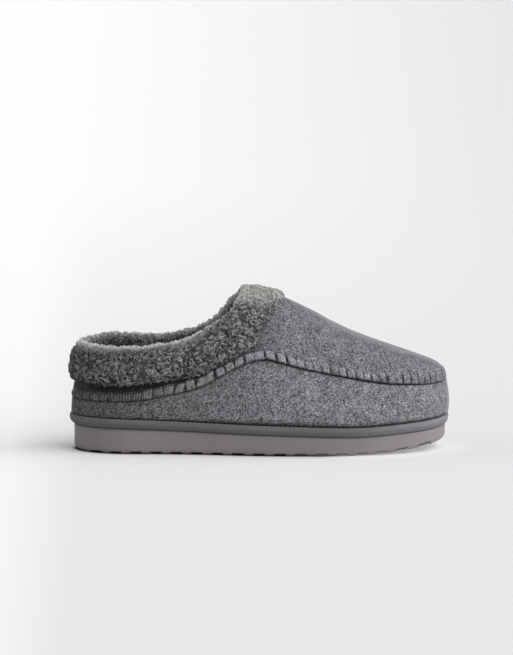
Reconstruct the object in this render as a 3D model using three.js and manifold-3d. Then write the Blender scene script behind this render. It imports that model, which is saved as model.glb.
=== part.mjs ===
// A moccasin mule slipper for the right foot: a felt upper with a turned-down fleece cuff, on a foam
// outsole with a cloth-wrapped platform. Lengths are millimetres.
// It is shaped with the back of the sole at x = 0, the toe towards +X, the big toe's side towards +Y and
// the floor at z = 0. The finished slipper is moved along X so that its origin is under the heel.
import * as THREE from 'three';
import Module from 'manifold-3d';

const wasm = await Module();
wasm.setup();
const { clamp, lerp, smoothstep } = THREE.MathUtils;

// Sizes of the last
const soleLength = 283;
const ballWidth = 105;
const heelWidth = 77;
const archWidth = 75;
const toeTipInset = 7;
const collarRise = 50.7;
const instepRise = 98.3;
const seamPeakRise = 50.2;

// Sizes of the sole
const heelThickness = 19.4;
const toeThickness = 11.2;
const toeSpring = 7;
const soleEdgeRadius = 3;
const toeEdgeRadius = 4.8;
const toeEdgeStart = 0.7;
const platformThickness = 7.7;
const platformOverhang = 3.7;
const treadDepth = 1.35;
const barLength = 6.6;
const barPitch = 15.6;
const barWave = 1.2;
const barWaveLength = 34;
const heelRestStation = 40;
const heelBevel = 1;
const heelBevelLength = 20;

// Sizes of the felt upper and the insole
const feltWall = 3;
const featherOverhang = 2.4;
const bellyOverhang = 3;
const seamBandWidth = 7.5;
const seamBandStep = 1.7;
const insoleThickness = 7;
const insoleDish = 0.9;
const insoleRimWidth = 1.35;
const insoleSlopeWidth = 8.1;

// Sizes of the collar and its fleece cuff
const collarSetback = 6;
const collarWidth = 64;
const collarLength = 126;
const throatInset = 4;
const cuffThickness = 7;
const cuffInstepThickness = 5.4;
const cuffThinStart = 0.55;
const cuffThinEnd = 0.9;
const cuffLining = 5;
const cuffLiningDepth = 19;
const cuffCrest = 6;
const fleeceRelief = 0.9;
const fleeceTuftLength = 13;
const fleeceTuftWays = [new THREE.Vector3(1, 0, 0.6), new THREE.Vector3(0.3, 1.2, -0.8)];

// Space left between two pieces that touch
const clearance = 0.3;

// Steps around every ring of the slipper, the same for all pieces so that their facets lie side by side
const ringSteps = 72;

// Outline of the sole. A row is a point of the outline: along is its share of the sole's length, out is
// its distance from the centre line, runs is the way that the outline takes there, and full says how
// broadly it curves on its way there.
const lateralOutline = [
  { along: 0, out: 0, runs: 'across' },
  { along: 0.155, out: heelWidth / 2, runs: 'along', full: 0.56 },
  { along: 0.643, out: ballWidth / 2, runs: 'along', full: 0.5 },
  { along: 1, out: -toeTipInset, runs: 'across', full: 0.61 },
];
const medialOutline = [
  { along: 0, out: 0, runs: 'across' },
  { along: 0.155, out: heelWidth / 2, runs: 'along', full: 0.56 },
  { along: 0.389, out: archWidth / 2, runs: 'along', full: 0.5 },
  { along: 0.717, out: ballWidth / 2, runs: 'along', full: 0.5 },
  { along: 1, out: toeTipInset, runs: 'across', full: 0.63 },
];

// Outline of the collar's edge, along the collar's length and out from the centre line
const lateralCollar = [
  { along: 0, out: 0, runs: 'across' },
  { along: 0.43, out: collarWidth / 2, runs: 'along', full: 0.56 },
  { along: 1, out: -throatInset, runs: 'across', full: 0.56 },
];
const medialCollar = [
  { along: 0, out: 0, runs: 'across' },
  { along: 0.43, out: collarWidth / 2, runs: 'along', full: 0.56 },
  { along: 1, out: throatInset, runs: 'across', full: 0.56 },
];

// Thickness of the outsole, as a share of the step from the toe's thickness to the heel's
const outsoleThickness = [
  { along: 0, share: 1 },
  { along: 0.12, share: 0.95 },
  { along: 0.3, share: 0.75 },
  { along: 0.44, share: 0.6 },
  { along: 0.6, share: 0.45 },
  { along: 0.75, share: 0.31 },
  { along: 0.86, share: 0.28 },
  { along: 0.95, share: 0.11 },
  { along: 1, share: 0 },
];
const springStart = 0.725;

// The outsole's rounded bottom edge, in from its side and up from its tread as shares of its radius
const edgeSection = [
  { inset: 1, rise: 0 },
  { inset: 0.3, rise: 0.3 },
  { inset: 0, rise: 1 },
];

// Side of the wrapped platform, up its thickness and out as a share of its overhang
const platformSide = [
  { up: 0, out: 0.08 },
  { up: 0.14, out: 0.5 },
  { up: 0.38, out: 0.85 },
  { up: 0.65, out: 1 },
  { up: 0.86, out: 0.88 },
  { up: 1, out: 0.55 },
];
const platformToeShare = 0.72;

// The whip-stitched seam: its height over the platform, as a share of its peak beside the throat
const seamRise = [
  { along: 0, share: 0.26 },
  { along: 0.12, share: 0.264 },
  { along: 0.19, share: 0.305 },
  { along: 0.235, share: 0.37 },
  { along: 0.29, share: 0.443 },
  { along: 0.35, share: 0.566 },
  { along: 0.396, share: 0.72 },
  { along: 0.442, share: 0.87 },
  { along: 0.49, share: 0.98 },
  { along: 0.52, share: 1 },
  { along: 0.555, share: 0.96 },
  { along: 0.62, share: 0.876 },
  { along: 0.7, share: 0.8 },
  { along: 0.77, share: 0.73 },
  { along: 0.845, share: 0.637 },
  { along: 0.92, share: 0.576 },
  { along: 1, share: 0.534 },
];

// Where the seam lies beside the sole's outline, round each half from heel to toe
const seamOverhang = [
  { round: 0, out: 1.4 },
  { round: 0.18, out: 1.6 },
  { round: 0.35, out: -1 },
  { round: 0.49, out: -5.5 },
  { round: 0.61, out: -4 },
  { round: 0.74, out: -2 },
  { round: 0.87, out: 0 },
  { round: 1, out: 1.2 },
];

// How full the wall under the seam is: up the wall, and round each half from heel to toe
const bellyUp = [
  { up: 0, share: 0 },
  { up: 0.18, share: 0.72 },
  { up: 0.36, share: 1 },
  { up: 0.6, share: 0.78 },
  { up: 0.85, share: 0.28 },
  { up: 1, share: 0 },
];
const bellyRound = [
  { round: 0, share: 0.1 },
  { round: 0.3, share: 0.6 },
  { round: 0.6, share: 1 },
  { round: 0.85, share: 0.75 },
  { round: 1, share: 0.5 },
];

// The line of the instep, over the platform, as a share of its height at the throat
const instepLine = [
  { along: 0.463, share: 1 },
  { along: 0.53, share: 0.972 },
  { along: 0.576, share: 0.922 },
  { along: 0.636, share: 0.843 },
  { along: 0.712, share: 0.732 },
  { along: 0.788, share: 0.639 },
  { along: 0.862, share: 0.549 },
  { along: 0.936, share: 0.46 },
  { along: 1.004, share: 0.37 },
];

// The collar's edge on each side, as a share of the step from its height at the heel to the instep's
const collarLine = [
  { along: 0.02, lateral: 0, medial: 0 },
  { along: 0.1, lateral: -0.03, medial: 0.066 },
  { along: 0.18, lateral: -0.015, medial: 0.044 },
  { along: 0.22, lateral: 0.035, medial: 0.044 },
  { along: 0.3, lateral: 0.135, medial: 0.135 },
  { along: 0.365, lateral: 0.325, medial: 0.305 },
  { along: 0.405, lateral: 0.465, medial: 0.495 },
  { along: 0.43, lateral: 0.595, medial: 0.71 },
  { along: 0.45, lateral: 0.775, medial: 0.85 },
  { along: 0.466, lateral: 0.99, medial: 0.99 },
];

// Which point of the collar's edge each point of the sole's outline is joined to
const collarFan = [
  { round: 0, collar: 0 },
  { round: 0.18, collar: 0.31 },
  { round: 0.315, collar: 0.6 },
  { round: 0.44, collar: 0.75 },
  { round: 0.585, collar: 0.83 },
  { round: 0.8, collar: 0.92 },
  { round: 1, collar: 1 },
];

// How steeply the apron rises out of the seam before it arches over the foot
const apronLip = [
  { round: 0.5, rise: 2 },
  { round: 0.6, rise: 4 },
  { round: 0.8, rise: 7 },
  { round: 1, rise: 8 },
];
const apronLipReach = 2.2;
const apronArch = { throat: 2.2, toe: 3.2 };

// How much of the felt between seam and collar the cuff leaves bare, round each half from heel to toe
const bareFelt = [
  { round: 0, share: 0.37 },
  { round: 0.12, share: 0.33 },
  { round: 0.22, share: 0.34 },
  { round: 0.3, share: 0.285 },
  { round: 0.39, share: 0.23 },
  { round: 0.45, share: 0.19 },
  { round: 0.5, share: 0.2 },
  { round: 0.528, share: 0.32 },
  { round: 0.583, share: 0.5 },
  { round: 0.64, share: 0.62 },
  { round: 0.72, share: 0.72 },
  { round: 0.83, share: 0.79 },
  { round: 1, share: 0.825 },
];

// The raised seam band: across its width from the seam, and off the felt as a share of its step
const bandSection = [
  { across: 0.1, step: 0.75 },
  { across: 0.32, step: 1 },
  { across: 0.74, step: 0.85 },
  { across: 1, step: 0 },
];

// Rows of points round the upper's wall, as shares of each part of it: outside up to the seam, bare up to
// the flap's foot and covered up to the collar's edge, then down inside behind the cuff and behind the foot
const upperRows = {
  wall: [0, 0.12, 0.3, 0.52, 0.78, 1],
  bare: [0.22, 0.48, 0.74, 1],
  covered: [0.35, 0.7, 1],
  lined: [1, 0.5, 0],
  under: [0.75, 0.5, 0.25, 0],
  inside: [0.66, 0.33],
};

// A curve through the rows of a table that stays between them. It ends level, unless it is sloped.
function curveThrough(rows, from, to, sloped = false) {
  const xs = rows.map((row) => row[from]);
  const ys = rows.map((row) => row[to]);
  const last = xs.length - 1;
  const rises = ys.slice(1).map((y, i) => (y - ys[i]) / (xs[i + 1] - xs[i]));
  const slopes = xs.map((_, i) => {
    if (i === 0) return sloped ? rises[0] : 0;
    if (i === last) return sloped ? rises[last - 1] : 0;
    const product = rises[i - 1] * rises[i];
    return product > 0 ? (2 * product) / (rises[i - 1] + rises[i]) : 0;
  });
  return (x) => {
    if (x <= xs[0]) return ys[0];
    if (x >= xs[last]) return ys[last];
    const i = xs.findIndex((end) => end > x) - 1;
    const width = xs[i + 1] - xs[i];
    const t = (x - xs[i]) / width;
    const start = ys[i] * (1 + 2 * t) * (1 - t) ** 2 + slopes[i] * width * t * (1 - t) ** 2;
    const end = ys[i + 1] * t * t * (3 - 2 * t) - slopes[i + 1] * width * t * t * (1 - t);
    return start + end;
  };
}

// One half of a closed outline, from its back to its front, on the side that the sign gives
function halfOutline(rows, start, length, sign) {
  const path = new THREE.CurvePath();
  const points = rows.map((row) => new THREE.Vector2(start + length * row.along, sign * row.out));
  const handle = (row, reach) => (
    row.runs === 'along' ? new THREE.Vector2(reach.x, 0) : new THREE.Vector2(0, reach.y)
  );
  for (let i = 1; i < rows.length; i += 1) {
    const reach = points[i].clone().sub(points[i - 1]).multiplyScalar(rows[i].full);
    const leave = points[i - 1].clone().add(handle(rows[i - 1], reach));
    const arrive = points[i].clone().sub(handle(rows[i], reach));
    path.add(new THREE.CubicBezierCurve(points[i - 1], leave, arrive, points[i]));
  }
  return path;
}

// A place on a ring is a turn from 0 to 2: from the heel along the lateral side to the toe at 1, and back
// along the medial side. round is the share of the way from heel to toe.
function placeOf(turn) {
  const whole = ((turn % 2) + 2) % 2;
  return whole <= 1 ? { side: 'lateral', round: whole } : { side: 'medial', round: 2 - whole };
}

const soleHalves = {
  lateral: halfOutline(lateralOutline, 0, soleLength, -1),
  medial: halfOutline(medialOutline, 0, soleLength, 1),
};
const collarHalves = {
  lateral: halfOutline(lateralCollar, collarSetback, collarLength, -1),
  medial: halfOutline(medialCollar, collarSetback, collarLength, 1),
};

// A point beside the sole's outline, as far outside it as asked
function besideSole(turn, distance) {
  const { side, round } = placeOf(turn);
  const point = soleHalves[side].getPoint(round);
  const way = soleHalves[side].getTangent(round);
  const sign = side === 'lateral' ? 1 : -1;
  return new THREE.Vector2(point.x + sign * way.y * distance, point.y - sign * way.x * distance);
}

// Heights along the sole
const thicknessShare = curveThrough(outsoleThickness, 'along', 'share', true);

function springAt(x) {
  const start = springStart * soleLength;
  const past = Math.max(0, x - start) / (soleLength - start);
  return toeSpring * past * past;
}

function outsoleBottom(x) {
  const back = Math.max(0, 1 - x / heelBevelLength);
  return springAt(x) + heelBevel * back * back;
}

function outsoleTop(x) {
  return springAt(x) + lerp(toeThickness, heelThickness, thicknessShare(x / soleLength));
}

function platformTop(x) {
  return outsoleTop(x) + clearance + platformThickness;
}

// The felt's outer face. Up a line, the height runs from 0 at the platform to 1 at the seam and 2 at the
// collar's edge.
const seamShare = curveThrough(seamRise, 'along', 'share');
const seamOut = curveThrough(seamOverhang, 'round', 'out');
const bellyShareUp = curveThrough(bellyUp, 'up', 'share', true);
const bellyShareRound = curveThrough(bellyRound, 'round', 'share');
const instepShare = curveThrough(instepLine, 'along', 'share', true);
const collarShare = {
  lateral: curveThrough(collarLine, 'along', 'lateral', true),
  medial: curveThrough(collarLine, 'along', 'medial', true),
};
const fanShare = curveThrough(collarFan, 'round', 'collar', true);
const lipRise = curveThrough(apronLip, 'round', 'rise');
const bareShare = curveThrough(bareFelt, 'round', 'share');

function seamHeight(x) {
  return platformTop(x) + seamPeakRise * seamShare(x / soleLength);
}

function instepHeight(x) {
  return platformTop(x) + instepRise * instepShare(x / soleLength);
}

function seamPoint(turn) {
  const plan = besideSole(turn, seamOut(placeOf(turn).round));
  return new THREE.Vector3(plan.x, plan.y, seamHeight(plan.x));
}

function collarPoint(turn) {
  const { side, round } = placeOf(turn);
  const plan = collarHalves[side].getPoint(fanShare(round));
  const rise = lerp(collarRise, instepRise, collarShare[side](plan.x / soleLength));
  return new THREE.Vector3(plan.x, plan.y, platformTop(plan.x) + rise);
}

function wallPoint(turn, up) {
  const { round } = placeOf(turn);
  const belly = bellyOverhang * bellyShareRound(round) * bellyShareUp(up);
  const plan = besideSole(turn, lerp(featherOverhang, seamOut(round), up) + belly);
  const foot = platformTop(plan.x) + clearance;
  return new THREE.Vector3(plan.x, plan.y, lerp(foot, seamHeight(plan.x), up));
}

// How far the seam lies from the centre line, on each side, at any station
const seamSamples = 120;
const seamHalfWidth = Object.fromEntries(['lateral', 'medial'].map((side) => {
  const rows = Array.from({ length: seamSamples + 1 }, (_, i) => {
    const round = i / seamSamples;
    return seamPoint(side === 'lateral' ? round : 2 - round);
  });
  return [side, curveThrough(rows, 'x', 'y', true)];
}));
const throatStation = collarSetback + collarLength;
const rearLean = 1.35;
const frontStart = 0.38;
const frontEnd = 0.52;

// The apron arches from seam to seam over the line of the instep
function apronHeight(point, side, round, fromSeam) {
  const forward = clamp((point.x - throatStation) / (soleLength - throatStation), 0, 1);
  const spine = toeTipInset * forward;
  const across = clamp((point.y - spine) / (seamHalfWidth[side](point.x) - spine), 0, 1);
  const arch = 1 - across ** lerp(apronArch.throat, apronArch.toe, forward);
  const seam = seamHeight(point.x);
  const lip = lipRise(round);
  const rise = lip + (instepHeight(point.x) - seam - lip) * arch;
  return seam + (1 - Math.exp(-fromSeam / apronLipReach)) * rise;
}

function topPoint(turn, up) {
  const { side, round } = placeOf(turn);
  const seam = seamPoint(turn);
  const collar = collarPoint(turn);
  const front = smoothstep(round, frontStart, frontEnd);
  const heightAt = (share) => {
    const plan = seam.clone().lerp(collar, share ** lerp(rearLean, 1, front));
    const fromSeam = Math.hypot(plan.x - seam.x, plan.y - seam.y);
    const rear = lerp(seam.z, collar.z, share);
    const height = front > 0 ? lerp(rear, apronHeight(plan, side, round, fromSeam), front) : rear;
    return new THREE.Vector3(plan.x, plan.y, height);
  };
  const point = heightAt(up);
  point.z += up * up * (collar.z - heightAt(1).z);
  return point;
}

function feltPoint(turn, height) {
  return height <= 1 ? wallPoint(turn, height) : topPoint(turn, height - 1);
}

// The felt's outward direction, from points a little to each side
const turnStep = 0.004;
const heightStep = 0.01;

function feltNormal(turn, height) {
  const low = Math.max(0, height - heightStep);
  const high = Math.min(2, height + heightStep);
  const along = feltPoint(turn + turnStep, height).sub(feltPoint(turn - turnStep, height));
  const up = feltPoint(turn, high).sub(feltPoint(turn, low));
  return along.cross(up).normalize();
}

// Length of the felt from the seam to the collar's edge
const lengthSteps = 24;

function feltLength(turn) {
  let length = 0;
  for (let i = 1; i <= lengthSteps; i += 1) {
    const end = feltPoint(turn, 1 + i / lengthSteps);
    length += end.distanceTo(feltPoint(turn, 1 + (i - 1) / lengthSteps));
  }
  return length;
}

// A point over the felt's outer face, or under it where over is negative
function feltOffset(turn, height, over) {
  return feltPoint(turn, height).addScaledVector(feltNormal(turn, height), over);
}

// What the other pieces need to know about each turn of the ring
const turns = Array.from({ length: ringSteps }, (_, step) => {
  const turn = (2 * step) / ringSteps;
  const { round } = placeOf(turn);
  const length = feltLength(turn);
  return {
    turn,
    round,
    bandTop: 1 + seamBandWidth / length,
    cuffFoot: 1 + Math.max(bareShare(round), (seamBandWidth + 2 * clearance) / length),
    liningFoot: 2 - cuffLiningDepth / length,
  };
});

// A loop with one point for each turn
function loopOf(pointAt) {
  return turns.map(pointAt);
}

function geometryOf(loops, faces) {
  const geometry = new THREE.BufferGeometry();
  const positions = loops.flat().flatMap((point) => point.toArray());
  geometry.setAttribute('position', new THREE.Float32BufferAttribute(positions, 3));
  geometry.setIndex(faces.filter(([a, b, c]) => a !== b && b !== c && c !== a).flat());
  return geometry;
}

// Faces between each loop and the next. Seen from outside, a loop runs to the right. Each face is halved
// from its start, or the other way where it lies against a face that is halved so.
function bands(loops, closed, otherWay) {
  const count = loops[0].length;
  const faces = [];
  const rows = closed ? loops.length : loops.length - 1;
  for (let row = 0; row < rows; row += 1) {
    const low = row * count;
    const high = ((row + 1) % loops.length) * count;
    for (let i = 0; i < count; i += 1) {
      const next = (i + 1) % count;
      if (otherWay) {
        faces.push([low + i, low + next, high + i], [low + next, high + next, high + i]);
      } else {
        faces.push([low + i, low + next, high + next], [low + i, high + next, high + i]);
      }
    }
  }
  return faces;
}

// A solid whose section is closed all the way round, such as a wall with two faces and two edges
function ringSolid(loops, otherWay = false) {
  return geometryOf(loops, bands(loops, true, otherWay));
}

// A solid of stacked loops. Each end is closed by rungs from one side of its loop to the other.
function stackSolid(loops) {
  const count = loops[0].length;
  const faces = bands(loops, false, false);
  const top = (loops.length - 1) * count;
  for (let i = 0; i < count / 2; i += 1) {
    const far = (count - i) % count;
    const farNext = count - i - 1;
    faces.push([top + i, top + i + 1, top + farNext], [top + i, top + farNext, top + far]);
    faces.push([i, farNext, i + 1], [i, far, farNext]);
  }
  return geometryOf(loops, faces);
}

// Joining and cutting solids
function toManifold(geometry) {
  return new wasm.Manifold(new wasm.Mesh({
    numProp: 3,
    vertProperties: new Float32Array(geometry.getAttribute('position').array),
    triVerts: new Uint32Array(geometry.getIndex().array),
  }));
}

function fromManifold(solid) {
  const mesh = solid.getMesh();
  const geometry = new THREE.BufferGeometry();
  geometry.setAttribute('position', new THREE.BufferAttribute(mesh.vertProperties, 3));
  geometry.setIndex(new THREE.BufferAttribute(mesh.triVerts, 1));
  return geometry;
}

// The outsole: its wall stands nearly upright on a rounded edge, and grooves cut across its tread
const grooveSteps = 24;

function groove(station) {
  const halfGap = (barPitch - barLength) / 2;
  const halfReach = ballWidth;
  const sections = Array.from({ length: grooveSteps + 1 }, (_, i) => {
    const y = lerp(-halfReach, halfReach, i / grooveSteps);
    const middle = station + barWave * Math.sin((2 * Math.PI * y) / barWaveLength);
    const corners = [[halfGap, false], [-halfGap, false], [-halfGap, true], [halfGap, true]];
    return corners.map(([offset, roof]) => {
      const x = middle + offset;
      return new THREE.Vector3(x, y, roof ? outsoleBottom(x) + treadDepth : -treadDepth);
    });
  });
  return toManifold(stackSolid(sections));
}

function outsole() {
  const edge = (place) => lerp(soleEdgeRadius, toeEdgeRadius, smoothstep(place.round, toeEdgeStart, 1));
  const rows = edgeSection.map(({ inset, rise }) => loopOf((place) => {
    const plan = besideSole(place.turn, -inset * edge(place));
    return new THREE.Vector3(plan.x, plan.y, outsoleBottom(plan.x) + rise * edge(place));
  }));
  const rim = loopOf((place) => {
    const plan = besideSole(place.turn, 0);
    return new THREE.Vector3(plan.x, plan.y, outsoleTop(plan.x));
  });
  let solid = toManifold(stackSolid([...rows, rim]));
  const firstGroove = heelRestStation - (Math.floor(heelRestStation / barPitch) - 0.5) * barPitch;
  for (let station = firstGroove; station < soleLength - barPitch / 2; station += barPitch) {
    solid = solid.subtract(groove(station));
  }
  return fromManifold(solid);
}

// The platform: a board wrapped in cloth, which stands out over the outsole all round
function platform() {
  return stackSolid(platformSide.map(({ up, out }) => loopOf(({ turn, round }) => {
    const overhang = platformOverhang * lerp(1, platformToeShare, round);
    const plan = besideSole(turn, overhang * out);
    const z = outsoleTop(plan.x) + clearance + platformThickness * up;
    return new THREE.Vector3(plan.x, plan.y, z);
  })));
}

// The insole: a plate inside the foot of the upper, with a rim and a slightly lower middle
function insole() {
  const rows = [
    { inset: 0, rise: 0 },
    { inset: 0, rise: insoleThickness - insoleRimWidth },
    { inset: insoleRimWidth, rise: insoleThickness },
    { inset: insoleSlopeWidth, rise: insoleThickness - insoleDish },
  ];
  return stackSolid(rows.map(({ inset, rise }) => loopOf(({ turn }) => {
    const plan = besideSole(turn, featherOverhang - feltWall - clearance - inset);
    return new THREE.Vector3(plan.x, plan.y, platformTop(plan.x) + clearance + rise);
  })));
}

// The upper: one felt wall, open underneath and at the collar. Its seam stands up as a puckered band.
function upper() {
  const outside = upperRows.wall.map((up) => (
    loopOf(({ turn }) => feltPoint(turn, up))
  ));
  const raised = bandSection.map(({ across, step }) => loopOf((place) => (
    feltOffset(place.turn, lerp(1, place.bandTop, across), seamBandStep * step)
  )));
  const bare = upperRows.bare.map((share) => loopOf((place) => (
    feltPoint(place.turn, lerp(place.bandTop, place.cuffFoot, share))
  )));
  const covered = upperRows.covered.map((share) => loopOf((place) => (
    feltPoint(place.turn, lerp(place.cuffFoot, 2, share))
  )));
  const inner = (place, height) => feltOffset(place.turn, height, -feltWall);
  const lined = upperRows.lined.map((share) => loopOf((place) => (
    inner(place, lerp(place.liningFoot, 2, share))
  )));
  const under = upperRows.under.map((share) => loopOf((place) => (
    inner(place, lerp(1, place.liningFoot, share))
  )));
  const inside = upperRows.inside.map((up) => loopOf((place) => inner(place, up)));
  const foot = loopOf(({ turn }) => {
    const plan = besideSole(turn, featherOverhang - feltWall);
    return new THREE.Vector3(plan.x, plan.y, platformTop(plan.x) + clearance);
  });
  return ringSolid([
    ...outside, ...raised, ...bare, ...covered, ...lined, ...under, ...inside, foot,
  ]);
}

// The cuff: fleece that lines the collar, rolls over its edge and hangs down outside it as a flap.
// A row of its section is a point beside the felt. down runs along the felt: on the flap from 0 at the
// collar's edge to 1 at the flap's foot, on the lining from 0 to 1 at the lining's foot, and over the edge
// it is negative, to -1 at the crest. over is the share of the thickness off the felt. curly rows show.
const cuffSection = [
  { part: 'flap', down: 0.98, over: 0, curly: 0 },
  { part: 'flap', down: 1.03, over: 0.3, curly: 0.4 },
  { part: 'flap', down: 0.94, over: 0.64, curly: 0.9 },
  { part: 'flap', down: 0.72, over: 0.95, curly: 1 },
  { part: 'flap', down: 0.42, over: 1.06, curly: 1 },
  { part: 'flap', down: 0.14, over: 1.0, curly: 1 },
  { part: 'crest', down: 0.55, over: 0.78, curly: 1 },
  { part: 'crest', down: 1, over: 0.1, curly: 0.6 },
  { part: 'crest', down: 0.7, over: -0.75, curly: 1 },
  { part: 'lining', down: 0.15, over: 1, curly: 1 },
  { part: 'lining', down: 0.7, over: 1, curly: 1 },
  { part: 'lining', down: 0.98, over: 0.6, curly: 0.5 },
  { part: 'lining', down: 1, over: 0, curly: 0 },
  { part: 'lining', down: 0.5, over: 0, curly: 0 },
  { part: 'edge', down: 0, over: 1, curly: 0 },
  { part: 'edge', down: 0, over: 0, curly: 0 },
  { part: 'flap', down: 0.3, over: 0, curly: 0 },
  { part: 'flap', down: 0.65, over: 0, curly: 0 },
];

// Tufts of the fleece, as small hills and hollows that change from place to place
function fleeceTuft(point) {
  const pitch = (2 * Math.PI) / fleeceTuftLength;
  const [along, across] = fleeceTuftWays.map((way) => Math.sin(pitch * way.dot(point)));
  return along * across;
}

function cuff() {
  return ringSolid(cuffSection.map(({ part, down, over, curly }) => loopOf((place) => {
    const { turn, round, cuffFoot, liningFoot } = place;
    const thin = smoothstep(round, cuffThinStart, cuffThinEnd);
    const thickness = lerp(cuffThickness, cuffInstepThickness, thin);
    const tuft = (height) => fleeceRelief * curly * fleeceTuft(feltPoint(turn, height));
    if (part === 'flap') {
      const height = lerp(2, cuffFoot, down);
      return feltOffset(turn, height, Math.max(clearance, over * thickness + tuft(height)));
    }
    if (part === 'lining') {
      const height = lerp(2, liningFoot, down);
      return feltOffset(turn, height, -feltWall - Math.max(clearance, over * cuffLining + tuft(height)));
    }
    const up = feltPoint(turn, 2).sub(feltPoint(turn, 2 - heightStep)).normalize();
    const outside = over > 0 ? over * thickness : over * (cuffLining + feltWall);
    const offset = part === 'edge' ? lerp(clearance, -feltWall - clearance, over) : outside;
    const rise = part === 'edge' ? clearance : down * cuffCrest + tuft(2);
    return feltOffset(turn, 2, offset).addScaledVector(up, rise);
  })), true);
}

// The slipper
function piece(name, geometry, color, roughness) {
  const material = new THREE.MeshStandardMaterial({ color, roughness, metalness: 0 });
  geometry.computeVertexNormals();
  const mesh = new THREE.Mesh(geometry, material);
  mesh.name = name;
  return mesh;
}

const shaped = new THREE.Group();
shaped.add(
  piece('outsole', outsole(), 0x7a757a, 0.75),
  piece('midsole', platform(), 0x6c6d70, 0.8),
  piece('insole', insole(), 0x6a6763, 0.95),
  piece('upper', upper(), 0x77797d, 0.95),
  piece('collar_cuff', cuff(), 0x6d6a66, 1),
);
shaped.position.x = -heelRestStation;

const slipper = new THREE.Group();
slipper.add(shaped);

export default slipper;
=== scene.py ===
"""A felt mule slipper with a fleece cuff, a whip-stitched seam and a cloth-wrapped foam sole.

The sizes that shape it are those of the part's own source, in millimetres. Every mesh is made in those
millimetres, from the back of the sole, and is moved to metres and to the frame as it is finished.
"""
import math
import bpy
import numpy as np
from bpy.props import FloatProperty, FloatVectorProperty, IntProperty, PointerProperty
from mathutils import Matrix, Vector


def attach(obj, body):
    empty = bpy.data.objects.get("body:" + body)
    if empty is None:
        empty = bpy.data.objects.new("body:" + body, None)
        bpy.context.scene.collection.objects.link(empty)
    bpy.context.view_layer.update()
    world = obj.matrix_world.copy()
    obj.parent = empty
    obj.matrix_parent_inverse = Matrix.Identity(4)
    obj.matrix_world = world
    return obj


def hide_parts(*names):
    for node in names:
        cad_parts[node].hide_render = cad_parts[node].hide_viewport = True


bl_info = {
    "name": "Mule Slipper",
    "version": (1, 0, 0),
    "blender": (4, 5, 0),
    "location": "View3D > Sidebar > Slipper",
    "description": "Builds a felt mule slipper with a fleece cuff on a wrapped foam sole",
    "category": "Object",
}

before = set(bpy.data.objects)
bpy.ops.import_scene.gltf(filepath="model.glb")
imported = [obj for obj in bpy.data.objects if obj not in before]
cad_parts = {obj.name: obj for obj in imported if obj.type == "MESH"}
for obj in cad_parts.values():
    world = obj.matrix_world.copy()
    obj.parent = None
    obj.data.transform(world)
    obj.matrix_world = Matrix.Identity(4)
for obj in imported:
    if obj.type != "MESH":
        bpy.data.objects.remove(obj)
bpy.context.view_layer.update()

# Sizes of the last
SOLE_LENGTH = 283.0
BALL_WIDTH = 105.0
HEEL_WIDTH = 77.0
ARCH_WIDTH = 75.0
TOE_TIP_INSET = 7.0
COLLAR_RISE = 50.7
INSTEP_RISE = 98.3
SEAM_PEAK_RISE = 50.2

# Sizes of the sole
HEEL_THICKNESS = 19.4
TOE_THICKNESS = 11.2
TOE_SPRING = 7.0
SPRING_START = 0.725
SOLE_EDGE_RADIUS = 3.0
PLATFORM_THICKNESS = 7.7
PLATFORM_OVERHANG = 3.7
PLATFORM_TOE_SHARE = 0.72
TREAD_DEPTH = 1.35
BAR_LENGTH = 6.6
BAR_PITCH = 15.6
BAR_WAVE = 1.2
BAR_WAVE_LENGTH = 34.0
HEEL_REST_STATION = 40.0
HEEL_BEVEL = 1.0
HEEL_BEVEL_LENGTH = 20.0

# Sizes of the felt upper and the insole
FELT_WALL = 3.0
FEATHER_OVERHANG = 2.4
BELLY_OVERHANG = 3.0
SEAM_BAND_WIDTH = 7.5
SEAM_BAND_STEP = 1.7
INSOLE_THICKNESS = 7.0
INSOLE_DISH = 0.9

# Sizes of the collar and its fleece cuff
COLLAR_SETBACK = 6.0
COLLAR_WIDTH = 64.0
COLLAR_LENGTH = 126.0
THROAT_INSET = 4.0
CUFF_THICKNESS = 7.0
CUFF_INSTEP_THICKNESS = 5.4
CUFF_LINING = 5.0
CUFF_LINING_DEPTH = 19.0
CUFF_CREST = 6.0
CLEARANCE = 0.3

# Outlines. A row is a point of the outline: its share of the length, its distance from the centre line,
# the way that the outline takes there, and how broadly it curves on its way there.
LATERAL_OUTLINE = [
    (0.0, 0.0, "across", 0.0),
    (0.155, HEEL_WIDTH / 2, "along", 0.56),
    (0.643, BALL_WIDTH / 2, "along", 0.5),
    (1.0, -TOE_TIP_INSET, "across", 0.61),
]
MEDIAL_OUTLINE = [
    (0.0, 0.0, "across", 0.0),
    (0.155, HEEL_WIDTH / 2, "along", 0.56),
    (0.389, ARCH_WIDTH / 2, "along", 0.5),
    (0.717, BALL_WIDTH / 2, "along", 0.5),
    (1.0, TOE_TIP_INSET, "across", 0.63),
]
LATERAL_COLLAR = [
    (0.0, 0.0, "across", 0.0),
    (0.43, COLLAR_WIDTH / 2, "along", 0.56),
    (1.0, -THROAT_INSET, "across", 0.56),
]
MEDIAL_COLLAR = [
    (0.0, 0.0, "across", 0.0),
    (0.43, COLLAR_WIDTH / 2, "along", 0.56),
    (1.0, THROAT_INSET, "across", 0.56),
]

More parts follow.
